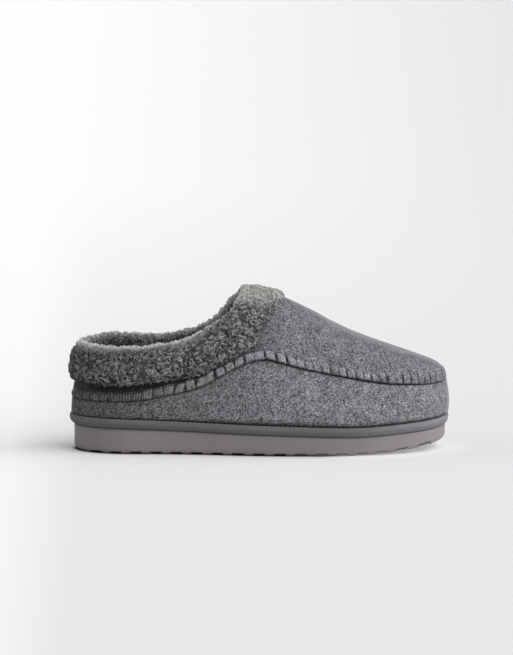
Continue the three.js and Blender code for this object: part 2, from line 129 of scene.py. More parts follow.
# Tables of the last, each from a place to a share or an offset there
OUTSOLE_THICKNESS = [
    (0, 1), (0.12, 0.95), (0.3, 0.75), (0.44, 0.6), (0.6, 0.45), (0.75, 0.31), (0.86, 0.28),
    (0.95, 0.11), (1, 0),
]
PLATFORM_SIDE = [(0, 0.08), (0.14, 0.5), (0.38, 0.85), (0.65, 1), (0.86, 0.88), (1, 0.55)]
SEAM_RISE = [
    (0, 0.26), (0.12, 0.264), (0.19, 0.305), (0.235, 0.37), (0.29, 0.443), (0.35, 0.566),
    (0.396, 0.72), (0.442, 0.87), (0.49, 0.98), (0.52, 1), (0.555, 0.96), (0.62, 0.876),
    (0.7, 0.8), (0.77, 0.73), (0.845, 0.637), (0.92, 0.576), (1, 0.534),
]
SEAM_OVERHANG = [
    (0, 1.4), (0.18, 1.6), (0.35, -1), (0.49, -5.5), (0.61, -4), (0.74, -2), (0.87, 0), (1, 1.2),
]
BELLY_UP = [(0, 0), (0.18, 0.72), (0.36, 1), (0.6, 0.78), (0.85, 0.28), (1, 0)]
BELLY_ROUND = [(0, 0.1), (0.3, 0.6), (0.6, 1), (0.85, 0.75), (1, 0.5)]
INSTEP_LINE = [
    (0.463, 1), (0.53, 0.972), (0.576, 0.922), (0.636, 0.843), (0.712, 0.732), (0.788, 0.639),
    (0.862, 0.549), (0.936, 0.46), (1.004, 0.37),
]
COLLAR_LINE_LATERAL = [
    (0.02, 0), (0.1, -0.03), (0.18, -0.015), (0.22, 0.035), (0.3, 0.135), (0.365, 0.325),
    (0.405, 0.465), (0.43, 0.595), (0.45, 0.775), (0.466, 0.99),
]
COLLAR_LINE_MEDIAL = [
    (0.02, 0), (0.1, 0.066), (0.18, 0.044), (0.22, 0.044), (0.3, 0.135), (0.365, 0.305),
    (0.405, 0.495), (0.43, 0.71), (0.45, 0.85), (0.466, 0.99),
]
COLLAR_FAN = [(0, 0), (0.18, 0.31), (0.315, 0.6), (0.44, 0.75), (0.585, 0.83), (0.8, 0.92), (1, 1)]
APRON_LIP = [(0.5, 2), (0.6, 4), (0.8, 7), (1, 8)]
APRON_LIP_REACH = 2.2
APRON_ARCH = (2.2, 3.2)
BARE_FELT = [
    (0, 0.37), (0.12, 0.33), (0.22, 0.34), (0.3, 0.285), (0.39, 0.23), (0.45, 0.19), (0.5, 0.2),
    (0.528, 0.32), (0.583, 0.5), (0.64, 0.62), (0.72, 0.72), (0.83, 0.79), (1, 0.825),
]
REAR_LEAN = 1.35
FRONT_START = 0.38
FRONT_END = 0.52
THROAT_STATION = COLLAR_SETBACK + COLLAR_LENGTH

# Section of the cuff, from the foot of the flap over the crest to the foot of the lining: the part that
# a row belongs to, how far down it, how far off the felt, and how curly the fleece is there
CUFF_SECTION = [
    ("flap", 0.98, 0.0, 0.2),
    ("flap", 1.03, 0.3, 0.7),
    ("flap", 0.94, 0.64, 1.0),
    ("flap", 0.72, 0.95, 1.0),
    ("flap", 0.42, 1.06, 1.0),
    ("flap", 0.14, 1.0, 1.0),
    ("crest", 0.55, 0.78, 1.0),
    ("crest", 1.0, 0.1, 0.8),
    ("crest", 0.7, -0.75, 1.0),
    ("lining", 0.15, 1.0, 1.0),
    ("lining", 0.7, 1.0, 1.0),
    ("lining", 0.98, 0.6, 0.5),
    ("lining", 1.0, 0.0, 0.0),
]

# Soft troughs that wear has pressed into the felt. A row is the side, the station and the height over the
# floor of its middle, its slant in degrees, its half length, its half width and its depth.
FELT_CREASES = [
    ("lateral", 168.0, 46.0, 78.0, 17.0, 5.5, 0.75),
    ("lateral", 188.0, 42.0, 84.0, 15.0, 5.0, 0.6),
    ("lateral", 205.0, 45.0, 98.0, 14.0, 6.0, 0.55),
    ("lateral", 228.0, 38.0, 102.0, 12.0, 5.0, 0.5),
    ("lateral", 130.0, 44.0, 64.0, 16.0, 5.0, 0.6),
    ("lateral", 104.0, 38.0, 60.0, 12.0, 4.5, 0.5),
    ("lateral", 178.0, 88.0, 118.0, 16.0, 6.0, 0.7),
    ("lateral", 205.0, 76.0, 112.0, 14.0, 6.0, 0.6),
    ("lateral", 238.0, 66.0, 100.0, 11.0, 5.5, 0.5),
    ("medial", 172.0, 46.0, 80.0, 16.0, 5.5, 0.7),
    ("medial", 196.0, 44.0, 95.0, 15.0, 5.0, 0.6),
    ("medial", 226.0, 42.0, 100.0, 12.0, 5.0, 0.5),
    ("medial", 120.0, 42.0, 66.0, 15.0, 5.0, 0.6),
    ("medial", 184.0, 86.0, 116.0, 16.0, 6.0, 0.7),
    ("medial", 214.0, 74.0, 108.0, 13.0, 6.0, 0.6),
]


def lerp(a, b, t):
    return a + (b - a) * t


def smoothstep(x, low, high):
    t = np.clip((x - low) / (high - low), 0, 1)
    return t * t * (3 - 2 * t)


def curve_through(rows, sloped=False):
    """A curve through the rows of a table that stays between them. It ends level, unless it is sloped."""
    xs, ys = np.array(rows, float).T
    rises = np.diff(ys) / np.diff(xs)
    slopes = np.zeros_like(ys)
    product = rises[:-1] * rises[1:]
    total = rises[:-1] + rises[1:]
    safe = np.where(product > 0, total, 1)
    slopes[1:-1] = np.where(product > 0, 2 * product / safe, 0)
    if sloped:
        slopes[0], slopes[-1] = rises[0], rises[-1]

    def at(x):
        x = np.clip(x, xs[0], xs[-1])
        i = np.clip(np.searchsorted(xs, x, side="right") - 1, 0, len(xs) - 2)
        width = xs[i + 1] - xs[i]
        t = (x - xs[i]) / width
        start = ys[i] * (1 + 2 * t) * (1 - t) ** 2 + slopes[i] * width * t * (1 - t) ** 2
        end = ys[i + 1] * t * t * (3 - 2 * t) - slopes[i + 1] * width * t * t * (1 - t)
        return start + end
    return at


def half_outline(rows, start, length, sign):
    """One half of a closed outline by length of arc: a function from the share to point and direction."""
    points = np.array([(start + length * along, sign * out) for along, out, _, _ in rows])
    t = np.linspace(0, 1, 400)[:, None]
    places, ways = [], []
    for i in range(1, len(rows)):
        a, d = points[i - 1], points[i]
        reach = (d - a) * rows[i][3]
        leave = reach * ((1, 0) if rows[i - 1][2] == "along" else (0, 1))
        arrive = reach * ((1, 0) if rows[i][2] == "along" else (0, 1))
        b, c = a + leave, d - arrive
        place = a * (1 - t) ** 3 + 3 * b * t * (1 - t) ** 2 + 3 * c * t * t * (1 - t) + d * t ** 3
        way = 3 * (b - a) * (1 - t) ** 2 + 6 * (c - b) * t * (1 - t) + 3 * (d - c) * t * t
        first = 0 if i == 1 else 1
        places.append(place[first:])
        ways.append(way[first:])
    places, ways = np.concatenate(places), np.concatenate(ways)
    ways = ways / np.linalg.norm(ways, axis=1)[:, None]
    lengths = np.concatenate([[0], np.cumsum(np.linalg.norm(np.diff(places, axis=0), axis=1))])
    shares = lengths / lengths[-1]

    def at(share):
        return [np.interp(share, shares, values) for values in (*places.T, *ways.T)]
    return at


def closed_outline(lateral, medial, start, length):
    """The outline by turn: 0 at the heel, 1 at the toe along the lateral side, and back to 2."""
    halves = half_outline(lateral, start, length, -1), half_outline(medial, start, length, 1)

    def at(turn, side_share=None):
        lateral_side, share = side_of(turn)
        share = share if side_share is None else side_share
        near, far = halves[0](share), halves[1](share)
        x, y, way_x, way_y = [np.where(lateral_side, a, b) for a, b in zip(near, far)]
        sign = np.where(lateral_side, 1, -1)
        return x, y, sign * way_y, -sign * way_x
    return at


def even_turns(columns):
    return np.arange(columns) * 2 / columns


def side_of(turn):
    """Whether a turn is on the lateral side, and its share of the way from heel to toe."""
    whole = np.mod(turn, 2)
    lateral = whole <= 1
    return lateral, np.where(lateral, whole, 2 - whole)


sole_at = closed_outline(LATERAL_OUTLINE, MEDIAL_OUTLINE, 0, SOLE_LENGTH)
collar_at = closed_outline(LATERAL_COLLAR, MEDIAL_COLLAR, COLLAR_SETBACK, COLLAR_LENGTH)
thickness_share = curve_through(OUTSOLE_THICKNESS, True)
platform_out = curve_through(PLATFORM_SIDE, True)
seam_share = curve_through(SEAM_RISE)
seam_out = curve_through(SEAM_OVERHANG)
belly_share_up = curve_through(BELLY_UP, True)
belly_share_round = curve_through(BELLY_ROUND)
instep_share = curve_through(INSTEP_LINE, True)
collar_share_lateral = curve_through(COLLAR_LINE_LATERAL, True)
collar_share_medial = curve_through(COLLAR_LINE_MEDIAL, True)
fan_share = curve_through(COLLAR_FAN, True)
lip_rise = curve_through(APRON_LIP)
bare_share = curve_through(BARE_FELT)


def beside_sole(turn, distance):
    x, y, out_x, out_y = sole_at(turn)
    return x + out_x * distance, y + out_y * distance


def spring_at(x):
    start = SPRING_START * SOLE_LENGTH
    past = np.maximum(0, x - start) / (SOLE_LENGTH - start)
    return TOE_SPRING * past * past


def outsole_bottom(x):
    back = np.maximum(0, 1 - x / HEEL_BEVEL_LENGTH)
    return spring_at(x) + HEEL_BEVEL * back * back


def outsole_top(x):
    return spring_at(x) + lerp(TOE_THICKNESS, HEEL_THICKNESS, thickness_share(x / SOLE_LENGTH))


def platform_top(x):
    return outsole_top(x) + CLEARANCE + PLATFORM_THICKNESS


def seam_height(x):
    return platform_top(x) + SEAM_PEAK_RISE * seam_share(x / SOLE_LENGTH)


def seam_point(turn):
    _, share = side_of(turn)
    x, y = beside_sole(turn, seam_out(share))
    return np.stack([x, y, seam_height(x)], -1)


def collar_point(turn):
    lateral, share = side_of(turn)
    x, y, _, _ = collar_at(turn, fan_share(share))
    along = x / SOLE_LENGTH
    step = np.where(lateral, collar_share_lateral(along), collar_share_medial(along))
    return np.stack([x, y, platform_top(x) + lerp(COLLAR_RISE, INSTEP_RISE, step)], -1)


def wall_point(turn, up):
    _, share = side_of(turn)
    belly = BELLY_OVERHANG * belly_share_round(share) * belly_share_up(up)
    x, y = beside_sole(turn, lerp(FEATHER_OVERHANG, seam_out(share), up) + belly)
    return np.stack([x, y, lerp(platform_top(x) + CLEARANCE, seam_height(x), up)], -1)


half_rounds = np.linspace(0, 1, 121)
seam_width = [curve_through(seam_point(turns)[:, :2], True) for turns in (half_rounds, 2 - half_rounds)]


def apron_height(x, y, lateral, share, from_seam):
    forward = np.clip((x - THROAT_STATION) / (SOLE_LENGTH - THROAT_STATION), 0, 1)
    spine = TOE_TIP_INSET * forward
    edge = np.where(lateral, seam_width[0](x), seam_width[1](x))
    half_width = np.where(edge == spine, 1, edge - spine)
    across = np.clip((y - spine) / half_width, 0, 1)
    arch = 1 - across ** lerp(*APRON_ARCH, forward)
    lip = lip_rise(share)
    seam = seam_height(x)
    instep = platform_top(x) + INSTEP_RISE * instep_share(x / SOLE_LENGTH)
    return seam + (1 - np.exp(-from_seam / APRON_LIP_REACH)) * (lip + (instep - seam - lip) * arch)


def top_point(turn, up):
    lateral, share = side_of(turn)
    seam, collar = seam_point(turn), collar_point(turn)
    front = smoothstep(share, FRONT_START, FRONT_END)

    def at(part):
        moved = part ** lerp(REAR_LEAN, 1, front)
        plan = lerp(seam[..., :2], collar[..., :2], moved[..., None])
        from_seam = np.linalg.norm(plan - seam[..., :2], axis=-1)
        rear = lerp(seam[..., 2], collar[..., 2], part)
        apron = apron_height(plan[..., 0], plan[..., 1], lateral, share, from_seam)
        return plan, lerp(rear, apron, front)
    plan, height = at(up)
    _, end = at(np.ones_like(up))
    height = height + up * up * (collar[..., 2] - end)
    return np.concatenate([plan, height[..., None]], -1)


def felt_point(turn, height):
    """The felt's outer face. The height is 0 at the platform, 1 at the seam and 2 at the collar's edge."""
    turn, height = np.broadcast_arrays(np.asarray(turn, float), np.asarray(height, float))
    low = wall_point(turn, np.clip(height, 0, 1))
    high = top_point(turn, np.clip(height - 1, 0, 1))
    return np.where((height <= 1)[..., None], low, high)


def felt_normal(turn, height):
    along = felt_point(turn + 0.004, height) - felt_point(turn - 0.004, height)
    up = felt_point(turn, np.minimum(2, height + 0.01)) - felt_point(turn, np.maximum(0, height - 0.01))
    normal = np.cross(along, up)
    return normal / np.linalg.norm(normal, axis=-1)[..., None]


def felt_offset(turn, height, over):
    return felt_point(turn, height) + felt_normal(turn, height) * np.asarray(over)[..., None]


LENGTH_TURNS = np.linspace(0, 2, 361)
length_points = felt_point(LENGTH_TURNS[None, :], np.linspace(1, 2, 25)[:, None])
FELT_LENGTHS = np.linalg.norm(np.diff(length_points, axis=0), axis=-1).sum(0)
seam_points = seam_point(LENGTH_TURNS)
SEAM_LENGTHS = np.concatenate([[0], np.cumsum(np.linalg.norm(np.diff(seam_points, axis=0), axis=1))])


def felt_length(turn):
    """Length of the felt from the seam to the collar's edge."""
    return np.interp(np.mod(turn, 2), LENGTH_TURNS, FELT_LENGTHS)


def cuff_foot(turn):
    _, share = side_of(turn)
    least = (SEAM_BAND_WIDTH + 2 * CLEARANCE) / felt_length(turn)
    return 1 + np.maximum(bare_share(share), least)


# Noise that is the same at every run: values on a lattice of cells, blended smoothly between them
LATTICE = np.random.default_rng(7).random(4096) * 2 - 1


def lattice_value(cells, seed):
    index = (cells[..., 0] * 73856093 ^ cells[..., 1] * 19349663 ^ cells[..., 2] * 83492791) + seed * 977
    return LATTICE[np.mod(index, len(LATTICE))]


def noise(points, size, seed=0):
    """Smooth noise from -1 to 1 over cells of that size in millimetres."""
    scaled = points / size + 500
    cell = np.floor(scaled).astype(np.int64)
    t = scaled - cell
    t = t * t * (3 - 2 * t)
    value = 0
    for dx in (0, 1):
        for dy in (0, 1):
            for dz in (0, 1):
                corner = np.array((dx, dy, dz))
                near = np.abs(1 - corner - t)
                weight = near[..., 0] * near[..., 1] * near[..., 2]
                value = value + weight * lattice_value(cell + corner, seed)
    return value


def unit(vectors):
    return vectors / np.maximum(np.linalg.norm(vectors, axis=-1), 1e-9)[..., None]


# Meshes
def ring_faces(rows, columns, closed=False):
    """Quads between each ring of points and the next."""
    row = np.arange(rows if closed else rows - 1)[:, None]
    column = np.arange(columns)[None, :]
    low, high = row * columns, ((row + 1) % rows) * columns
    after = (column + 1) % columns
    return np.stack([low + column, low + after, high + after, high + column], -1).reshape(-1, 4)


def strip_faces(count, rows, columns):
    """Quads of many like tubes at once, each with rows of points along it and columns round it."""
    first = np.arange(count)[:, None, None] * rows * columns
    return (first + ring_faces(rows, columns)).reshape(-1, 4)


def new_piece(name, points, faces, material, replaces=(), values=None):
    """Makes a smooth mesh from points in millimetres, puts it in the frame and lets it ride there."""
    points = (points.reshape(-1, 3) - (HEEL_REST_STATION, 0, 0)) / 1000
    mesh = bpy.data.meshes.new(name)
    mesh.vertices.add(len(points))
    mesh.vertices.foreach_set("co", points.astype(np.float32).ravel())
    mesh.loops.add(faces.size)
    mesh.loops.foreach_set("vertex_index", faces.astype(np.int32).ravel())
    mesh.polygons.add(len(faces))
    mesh.polygons.foreach_set("loop_start", np.arange(0, faces.size, 4, dtype=np.int32))
    mesh.polygons.foreach_set("use_smooth", np.ones(len(faces), bool))
    mesh.update(calc_edges=True)
    for key, data in (values or {}).items():
        layer = mesh.attributes.new(key, "FLOAT", "POINT")
        layer.data.foreach_set("value", np.asarray(data, np.float32).ravel())
    mesh.materials.append(material)
    piece = bpy.data.objects.new(name, mesh)
    bpy.context.scene.collection.objects.link(piece)
    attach(piece, "root")
    if replaces:
        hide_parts(*replaces)
    return piece


MIDDLE_REACH = 0.985


def middle_line(ring):
    """The line along the middle of a ring, which ends a little short of it."""
    mirror = (len(ring) - np.arange(len(ring))) % len(ring)
    middle = (ring + ring[mirror]) / 2
    middle[:, 0] = lerp(middle[:, 0].mean(), middle[:, 0], MIDDLE_REACH)
    return middle


def close_rings(rings, steps):
    """Adds rings to a stack that draw in to its middle line, so that the stack is closed there."""
    middle = middle_line(rings[-1])
    return [*rings, *(lerp(rings[-1], middle, step) for step in np.linspace(0, 1, steps + 1)[1:])]


def even_rings(rings, passes):
    """Evens each ring along its length, so that its points keep their order where the two sides meet."""
    for _ in range(passes):
        rings = (np.roll(rings, 1, 1) + 2 * rings + np.roll(rings, -1, 1)) / 4
    return rings


def grid_normals(points):
    """Outward directions of a grid of points with rings as rows."""
    along = np.roll(points, -1, 1) - np.roll(points, 1, 1)
    up = np.gradient(points, axis=0)
    return unit(np.cross(along, up))


def tubes(paths, radii, sides):
    """Points of many tubes at once, from paths of points and a radius at each."""
    way = unit(np.gradient(paths, axis=1))
    spread = unit(paths[:, -1] - paths[:, 0] + 1e-6)
    helper = np.cross(spread, np.array((0.31, 0.52, 0.79)))
    side = unit(np.cross(way, helper[:, None, :]))
    other = np.cross(way, side)
    angle = np.arange(sides) * 2 * math.pi / sides
    circle = side[:, :, None] * np.cos(angle)[:, None] + other[:, :, None] * np.sin(angle)[:, None]
    return paths[:, :, None] + circle * radii[..., None, None]


# Shader helpers
def plug(tree, socket, value):
    """Joins a socket to another, or sets its value."""
    if isinstance(value, bpy.types.NodeSocket):
        tree.links.new(value, socket)
    else:
        socket.default_value = value


def add_node(tree, kind, inputs=None, **settings):
    """Adds a node, sets what it is told, and joins or sets its inputs by name or number."""
    node = tree.nodes.new(kind)
    for key, value in settings.items():
        setattr(node, key, value)
    for key, value in (inputs or {}).items():
        plug(tree, node.inputs[key], value)
    return node


def math_node(tree, operation, a, b=0.0):
    return add_node(tree, "ShaderNodeMath", {0: a, 1: b}, operation=operation).outputs[0]


def add(tree, a, b):
    return math_node(tree, "ADD", a, b)


def multiply(tree, a, b):
    return math_node(tree, "MULTIPLY", a, b)


def map_range(tree, value, low, high, to_low=0.0, to_high=1.0):
    inputs = {"Value": value, "From Min": low, "From Max": high, "To Min": to_low, "To Max": to_high}
    return add_node(tree, "ShaderNodeMapRange", inputs).outputs["Result"]


def axis_of(tree, place, axis):
    return add_node(tree, "ShaderNodeSeparateXYZ", {0: place}).outputs[axis]


def change_along(tree, place, back, front, at_back, at_front):
    """A tone that changes along the slipper between two distances from its origin, in metres."""
    return map_range(tree, axis_of(tree, place, 0), back, front, at_back, at_front)


def mix_colour(tree, share, a, b, blend="MIX"):
    settings = {"data_type": "RGBA", "blend_type": blend}
    return add_node(tree, "ShaderNodeMix", {0: share, 6: a, 7: b}, **settings).outputs[2]


def toned(tree, colour, tone):
    """The colour, made darker or lighter by a tone."""
    grey = add_node(tree, "ShaderNodeCombineColor", {0: tone, 1: tone, 2: tone}).outputs[0]
    return mix_colour(tree, 1.0, colour, grey, "MULTIPLY")


def noise_node(tree, place, scale, detail=2.0, roughness=0.5):
    inputs = {"Vector": place, "Scale": scale, "Detail": detail, "Roughness": roughness}
    return add_node(tree, "ShaderNodeTexNoise", inputs).outputs["Fac"]


def attribute(tree, name):
    return add_node(tree, "ShaderNodeAttribute", attribute_name=name).outputs["Fac"]


def in_millimetres(tree, place):
    inputs = {0: place, 1: (1000, 1000, 1000)}
    return add_node(tree, "ShaderNodeVectorMath", inputs, operation="MULTIPLY").outputs[0]


def new_group(name, sizes, outputs):
    """An empty effect that takes the place and some sizes in millimetres, and puts out numbers."""
    group = bpy.data.node_groups.new(name, "ShaderNodeTree")
    group.interface.new_socket("Place", in_out="INPUT", socket_type="NodeSocketVector")
    for key, value in sizes.items():
        socket = group.interface.new_socket(key, in_out="INPUT", socket_type="NodeSocketFloat")
        socket.default_value = value
    for key in outputs:
        group.interface.new_socket(key, in_out="OUTPUT", socket_type="NodeSocketFloat")
    given = group.nodes.new("NodeGroupInput").outputs
    end = group.nodes.new("NodeGroupOutput").inputs
    scales = {key: math_node(group, "DIVIDE", 1.0, given[key]) for key in sizes}
    return group, given["Place"], scales, end


def fibre_group(name):
    """Heathered fibres: a fine mottle of dark and light, with short pale hairs lying every way."""
    sizes = {"Mottle Size": 1.3, "Hair Size": 0.6, "Blotch Size": 14.0}
    group, place, scales, end = new_group(name, sizes, ("Mottle", "Hairs", "Blotch", "Height"))
    place = in_millimetres(group, place)
    fine = noise_node(group, place, scales["Mottle Size"], 1.0, 0.6)
    broad = noise_node(group, place, multiply(group, scales["Mottle Size"], 0.3), 2.0, 0.6)
    mottle = add(group, multiply(group, fine, 0.74), multiply(group, broad, 0.26))
    hairs = 0.0
    for turn in ((0.3, 0.6, 0.2), (1.2, -0.7, 0.9), (-0.6, 1.9, 2.2), (0.1, 2.6, -0.8)):
        lying = {"Vector": place, "Rotation": turn, "Scale": (0.45, 1.0, 1.0)}
        turned = add_node(group, "ShaderNodeMapping", lying).outputs[0]
        line = map_range(group, noise_node(group, turned, scales["Hair Size"], 0.0), 0.62, 0.74)
        hairs = math_node(group, "MAXIMUM", hairs, line)
    blotch = noise_node(group, place, scales["Blotch Size"], 2.0, 0.55)
    plug(group, end["Mottle"], math_node(group, "POWER", map_range(group, mottle, 0.37, 0.66), 1.45))
    plug(group, end["Hairs"], hairs)
    plug(group, end["Blotch"], map_range(group, blotch, 0.3, 0.7))
    plug(group, end["Height"], add(group, mottle, multiply(group, hairs, 0.35)))
    return group


def grain_group(name):
    """Fine even grain of a moulded or a tightly woven surface, with a little soft soiling."""
    sizes = {"Grain Size": 0.5, "Soil Size": 9.0}
    group, place, scales, end = new_group(name, sizes, ("Grain", "Soil"))
    place = in_millimetres(group, place)
    soil = noise_node(group, place, scales["Soil Size"], 3.0, 0.6)
    plug(group, end["Grain"], noise_node(group, place, scales["Grain Size"], 3.0, 0.6))
    plug(group, end["Soil"], map_range(group, soil, 0.35, 0.75))
    return group


def weave_group(name):
    """A close plain weave, as two sets of threads that cross at a slant."""
    group, place, scales, end = new_group(name, {"Thread Pitch": 0.55}, ("Weave",))
    x, y, z = (axis_of(group, in_millimetres(group, place), axis) for axis in range(3))
    waves = []
    for value in (add(group, x, z), math_node(group, "SUBTRACT", y, z)):
        turns = multiply(group, value, scales["Thread Pitch"])
        waves.append(math_node(group, "SINE", multiply(group, turns, 2 * math.pi)))
    plug(group, end["Weave"], map_range(group, multiply(group, *waves), -1, 1))
    return group


EFFECTS = {"Heathered fibres": fibre_group, "Fine grain": grain_group, "Close weave": weave_group}


def place_group(tree, name, place, **sizes):
    """Places one of the shared effects, which is built when it is first needed."""
    node = tree.nodes.new("ShaderNodeGroup")
    node.node_tree = bpy.data.node_groups.get(name) or EFFECTS[name](name)
    plug(tree, node.inputs["Place"], place)
    for key, value in sizes.items():
        plug(tree, node.inputs[key.replace("_", " ")], value)
    return node.outputs


def new_material(name, roughness, sheen=0.0, sheen_roughness=0.5, specular=0.3):
    """A material with its shader, the place on the object, and the shader's own even values set."""
    material = bpy.data.materials.new(name)
    material.use_nodes = True
    tree = material.node_tree
    shader = tree.nodes["Principled BSDF"]
    shader.inputs["Roughness"].default_value = roughness
    shader.inputs["Specular IOR Level"].default_value = specular
    shader.inputs["Sheen Weight"].default_value = sheen
    shader.inputs["Sheen Roughness"].default_value = sheen_roughness
    return material, tree, shader, tree.nodes.new("ShaderNodeTexCoord").outputs["Object"]


def kept_material(name, make, *settings):
    """The material of that name, which is made when it is first needed."""
    return bpy.data.materials.get(name) or make(name, *settings)


def shade(colour, share=1):
    return tuple(channel * share for channel in colour[:3]) + (1.0,)


def dress(tree, shader, colour, height, strength, distance):
    """Gives the shader its colour and its bump."""
    plug(tree, shader.inputs["Base Color"], colour)
    bump = add_node(tree, "ShaderNodeBump", {"Strength": strength, "Distance": distance, "Height": height})
    plug(tree, shader.inputs["Normal"], bump.outputs["Normal"])


def felt_material(name, colours):
    """Boiled felt: dark and light fibres, softly blotched, paler at the seam, with painted shade and an
    edge-on painted sheen.
    """
    look = {"sheen": 0.07, "sheen_roughness": 0.45, "specular": 0.08}
    material, tree, shader, place = new_material(name, 0.95, **look)
    sizes = {"Mottle_Size": 1.25, "Hair_Size": 0.8, "Blotch_Size": 11.0}
    fibres = place_group(tree, "Heathered fibres", place, **sizes)
    base = mix_colour(tree, fibres["Mottle"], shade(colours.felt_dark), shade(colours.felt_light))
    haired = mix_colour(tree, multiply(tree, fibres["Hairs"], 0.4), base, shade(colours.felt_hair))
    blotch = map_range(tree, fibres["Blotch"], 0, 1, 0.86, 1.12)
    # Painted shade: the felt darkens to less than half toward the heel, where less light reaches it and the
    # cuff overhangs
    wall = toned(tree, haired, multiply(tree, blotch, change_along(tree, place, -0.012, 0.12, 0.42, 1.0)))
    # The apron's tint is partly its own bluer felt and partly painted shade that darkens its up-facing top
    apron = mix_colour(tree, 1.0, wall, shade(colours.apron), "MULTIPLY")
    panelled = mix_colour(tree, attribute(tree, "apron"), wall, apron)
    lighter = mix_colour(tree, 1.0, panelled, (1.5, 1.5, 1.5, 1.0), "MULTIPLY")
    proud = mix_colour(tree, 0.18, lighter, shade(colours.yarn))
    lifted = mix_colour(tree, attribute(tree, "puff"), panelled, proud)
    # Painted shade: the felt goes toward near black where its mesh marks shade under the seam, at its foot
    # and under the flap
    with_painted_shade = mix_colour(tree, attribute(tree, "painted_shade"), lifted, shade(colours.felt_dark, 0.08))
    # Painted sheen: the felt grows paler where it is seen edge on, standing in for light caught by its
    # loose fibres
    facing = add_node(tree, "ShaderNodeLayerWeight", {"Blend": 0.5}).outputs["Facing"]
    edge_sheen = map_range(tree, facing, 0.72, 1.0, 0.0, 0.55)
    with_edge_sheen = mix_colour(tree, edge_sheen, with_painted_shade, shade(colours.felt_hair))
    dress(tree, shader, with_edge_sheen, fibres["Height"], 0.9, 0.0007)
    return material


def fleece_material(name, dark, light, crest, size):
    """Curly fleece: dark at the roots, partly as painted shade, pale at the tips of its curls, with a
    painted highlight on the crest.
    """
    material, tree, shader, place = new_material(name, 0.95, sheen=0.04, specular=0.08)
    sizes = {"Mottle_Size": size, "Hair_Size": 0.5, "Blotch_Size": 16.0}
    fibres = place_group(tree, "Heathered fibres", place, **sizes)
    lively = add(tree, multiply(tree, fibres["Mottle"], 0.55), 0.7)
    share = multiply(tree, attribute(tree, "tip"), lively)
    base = mix_colour(tree, share, shade(dark), shade(light))
    blotch = map_range(tree, fibres["Blotch"], 0, 1, 0.88, 1.1)
    # Painted light: the fleece grows lighter toward the throat, where more light falls on it
    base = toned(tree, base, multiply(tree, blotch, change_along(tree, place, -0.03, 0.09, 0.93, 1.6)))
    # Painted highlight along the crest and over the top of the throat
    brushed_and_lit = mix_colour(tree, share, shade(crest, 0.5), shade(crest))
    crest_highlit = mix_colour(tree, attribute(tree, "crest"), base, brushed_and_lit)
    dress(tree, shader, crest_highlit, fibres["Height"], 0.8, 0.0006)
    return material


def wrap_material(name, colours):
    """The cloth wrap of the platform: a close weave with a little soil, painted shade where its mesh marks
    it, and painted light toward the toe.
    """
    material, tree, shader, place = new_material(name, 0.85, sheen=0.03, specular=0.2)
    weave = place_group(tree, "Close weave", place, Thread_Pitch=0.6)["Weave"]
    grain = place_group(tree, "Fine grain", place, Grain_Size=0.6, Soil_Size=11.0)
    share = add(tree, multiply(tree, weave, 0.35), multiply(tree, grain["Grain"], 0.65))
    threads = map_range(tree, share, 0.3, 0.7)
    base = mix_colour(tree, threads, shade(colours.wrap, 0.72), shade(colours.wrap, 1.3))
    soiled = mix_colour(tree, multiply(tree, grain["Soil"], 0.25), base, shade(colours.wrap, 0.6))
    # Painted shade toward the heel and painted light toward the toe
    heel = change_along(tree, place, -0.03, 0.1, 0.8, 1.0)
    toe = change_along(tree, place, 0.16, 0.24, 1.0, 1.6)
    shown = toned(tree, soiled, multiply(tree, heel, toe))
    with_painted_shade = mix_colour(tree, attribute(tree, "painted_shade"), shown, shade(colours.wrap, 0.2))
    dress(tree, shader, with_painted_shade, share, 0.5, 0.0003)
    return material


def foam_material(name, colours):
    """The moulded foam of the outsole: matt, finely pitted, a little scuffed at its edge, with painted
    shade in its grooves and toward the heel, and painted light toward the toe.
    """
    material, tree, shader, place = new_material(name, 0.6, specular=0.35)
    grain = place_group(tree, "Fine grain", place, Grain_Size=0.45, Soil_Size=18.0)
    pits = map_range(tree, grain["Grain"], 0.3, 0.7)
    base = mix_colour(tree, pits, shade(colours.foam, 0.93), shade(colours.foam, 1.07))
    soiled = mix_colour(tree, multiply(tree, grain["Soil"], 0.22), base, shade(colours.foam, 0.75))
    scuff = multiply(tree, attribute(tree, "wear"), 0.35)
    worn = mix_colour(tree, scuff, soiled, shade(colours.foam, 1.35))
    # Painted shade toward the heel and painted light toward the toe
    heel = change_along(tree, place, -0.04, 0.02, 0.88, 1.0)
    toe = change_along(tree, place, 0.15, 0.24, 1.0, 1.14)
    shown = toned(tree, worn, multiply(tree, toe, heel))
    # Painted shade: near black in the grooves and low on the rounded edge below them
    groove_shaded = mix_colour(tree, attribute(tree, "groove"), shown, shade(colours.foam, 0.06))
    plug(tree, shader.inputs["Roughness"], map_range(tree, grain["Grain"], 0.3, 0.7, 0.52, 0.7))
    dress(tree, shader, groove_shaded, grain["Grain"], 0.25, 0.0002)
    return material


def thread_material(name, colour):
    """Spun thread: fine plies along it, darker in between."""
    material, tree, shader, place = new_material(name, 0.85, sheen=0.03, specular=0.1)
    grain = place_group(tree, "Fine grain", place, Grain_Size=0.35, Soil_Size=5.0)["Grain"]
    base = mix_colour(tree, map_range(tree, grain, 0.35, 0.65), shade(colour, 0.7), shade(colour, 1.25))
    dress(tree, shader, base, grain, 0.5, 0.0002)
    return material


# Properties that a user would change
def a_length(name, text, default):
    return FloatProperty(name=name, description=text, default=default, unit="LENGTH", subtype="DISTANCE")


def a_colour(name, text, *default):
    return FloatVectorProperty(name=name, description=text, subtype="COLOR", default=default)


def a_number(name, text, default):
    kind = IntProperty if isinstance(default, int) else FloatProperty
    return kind(name=name, description=text, default=default)


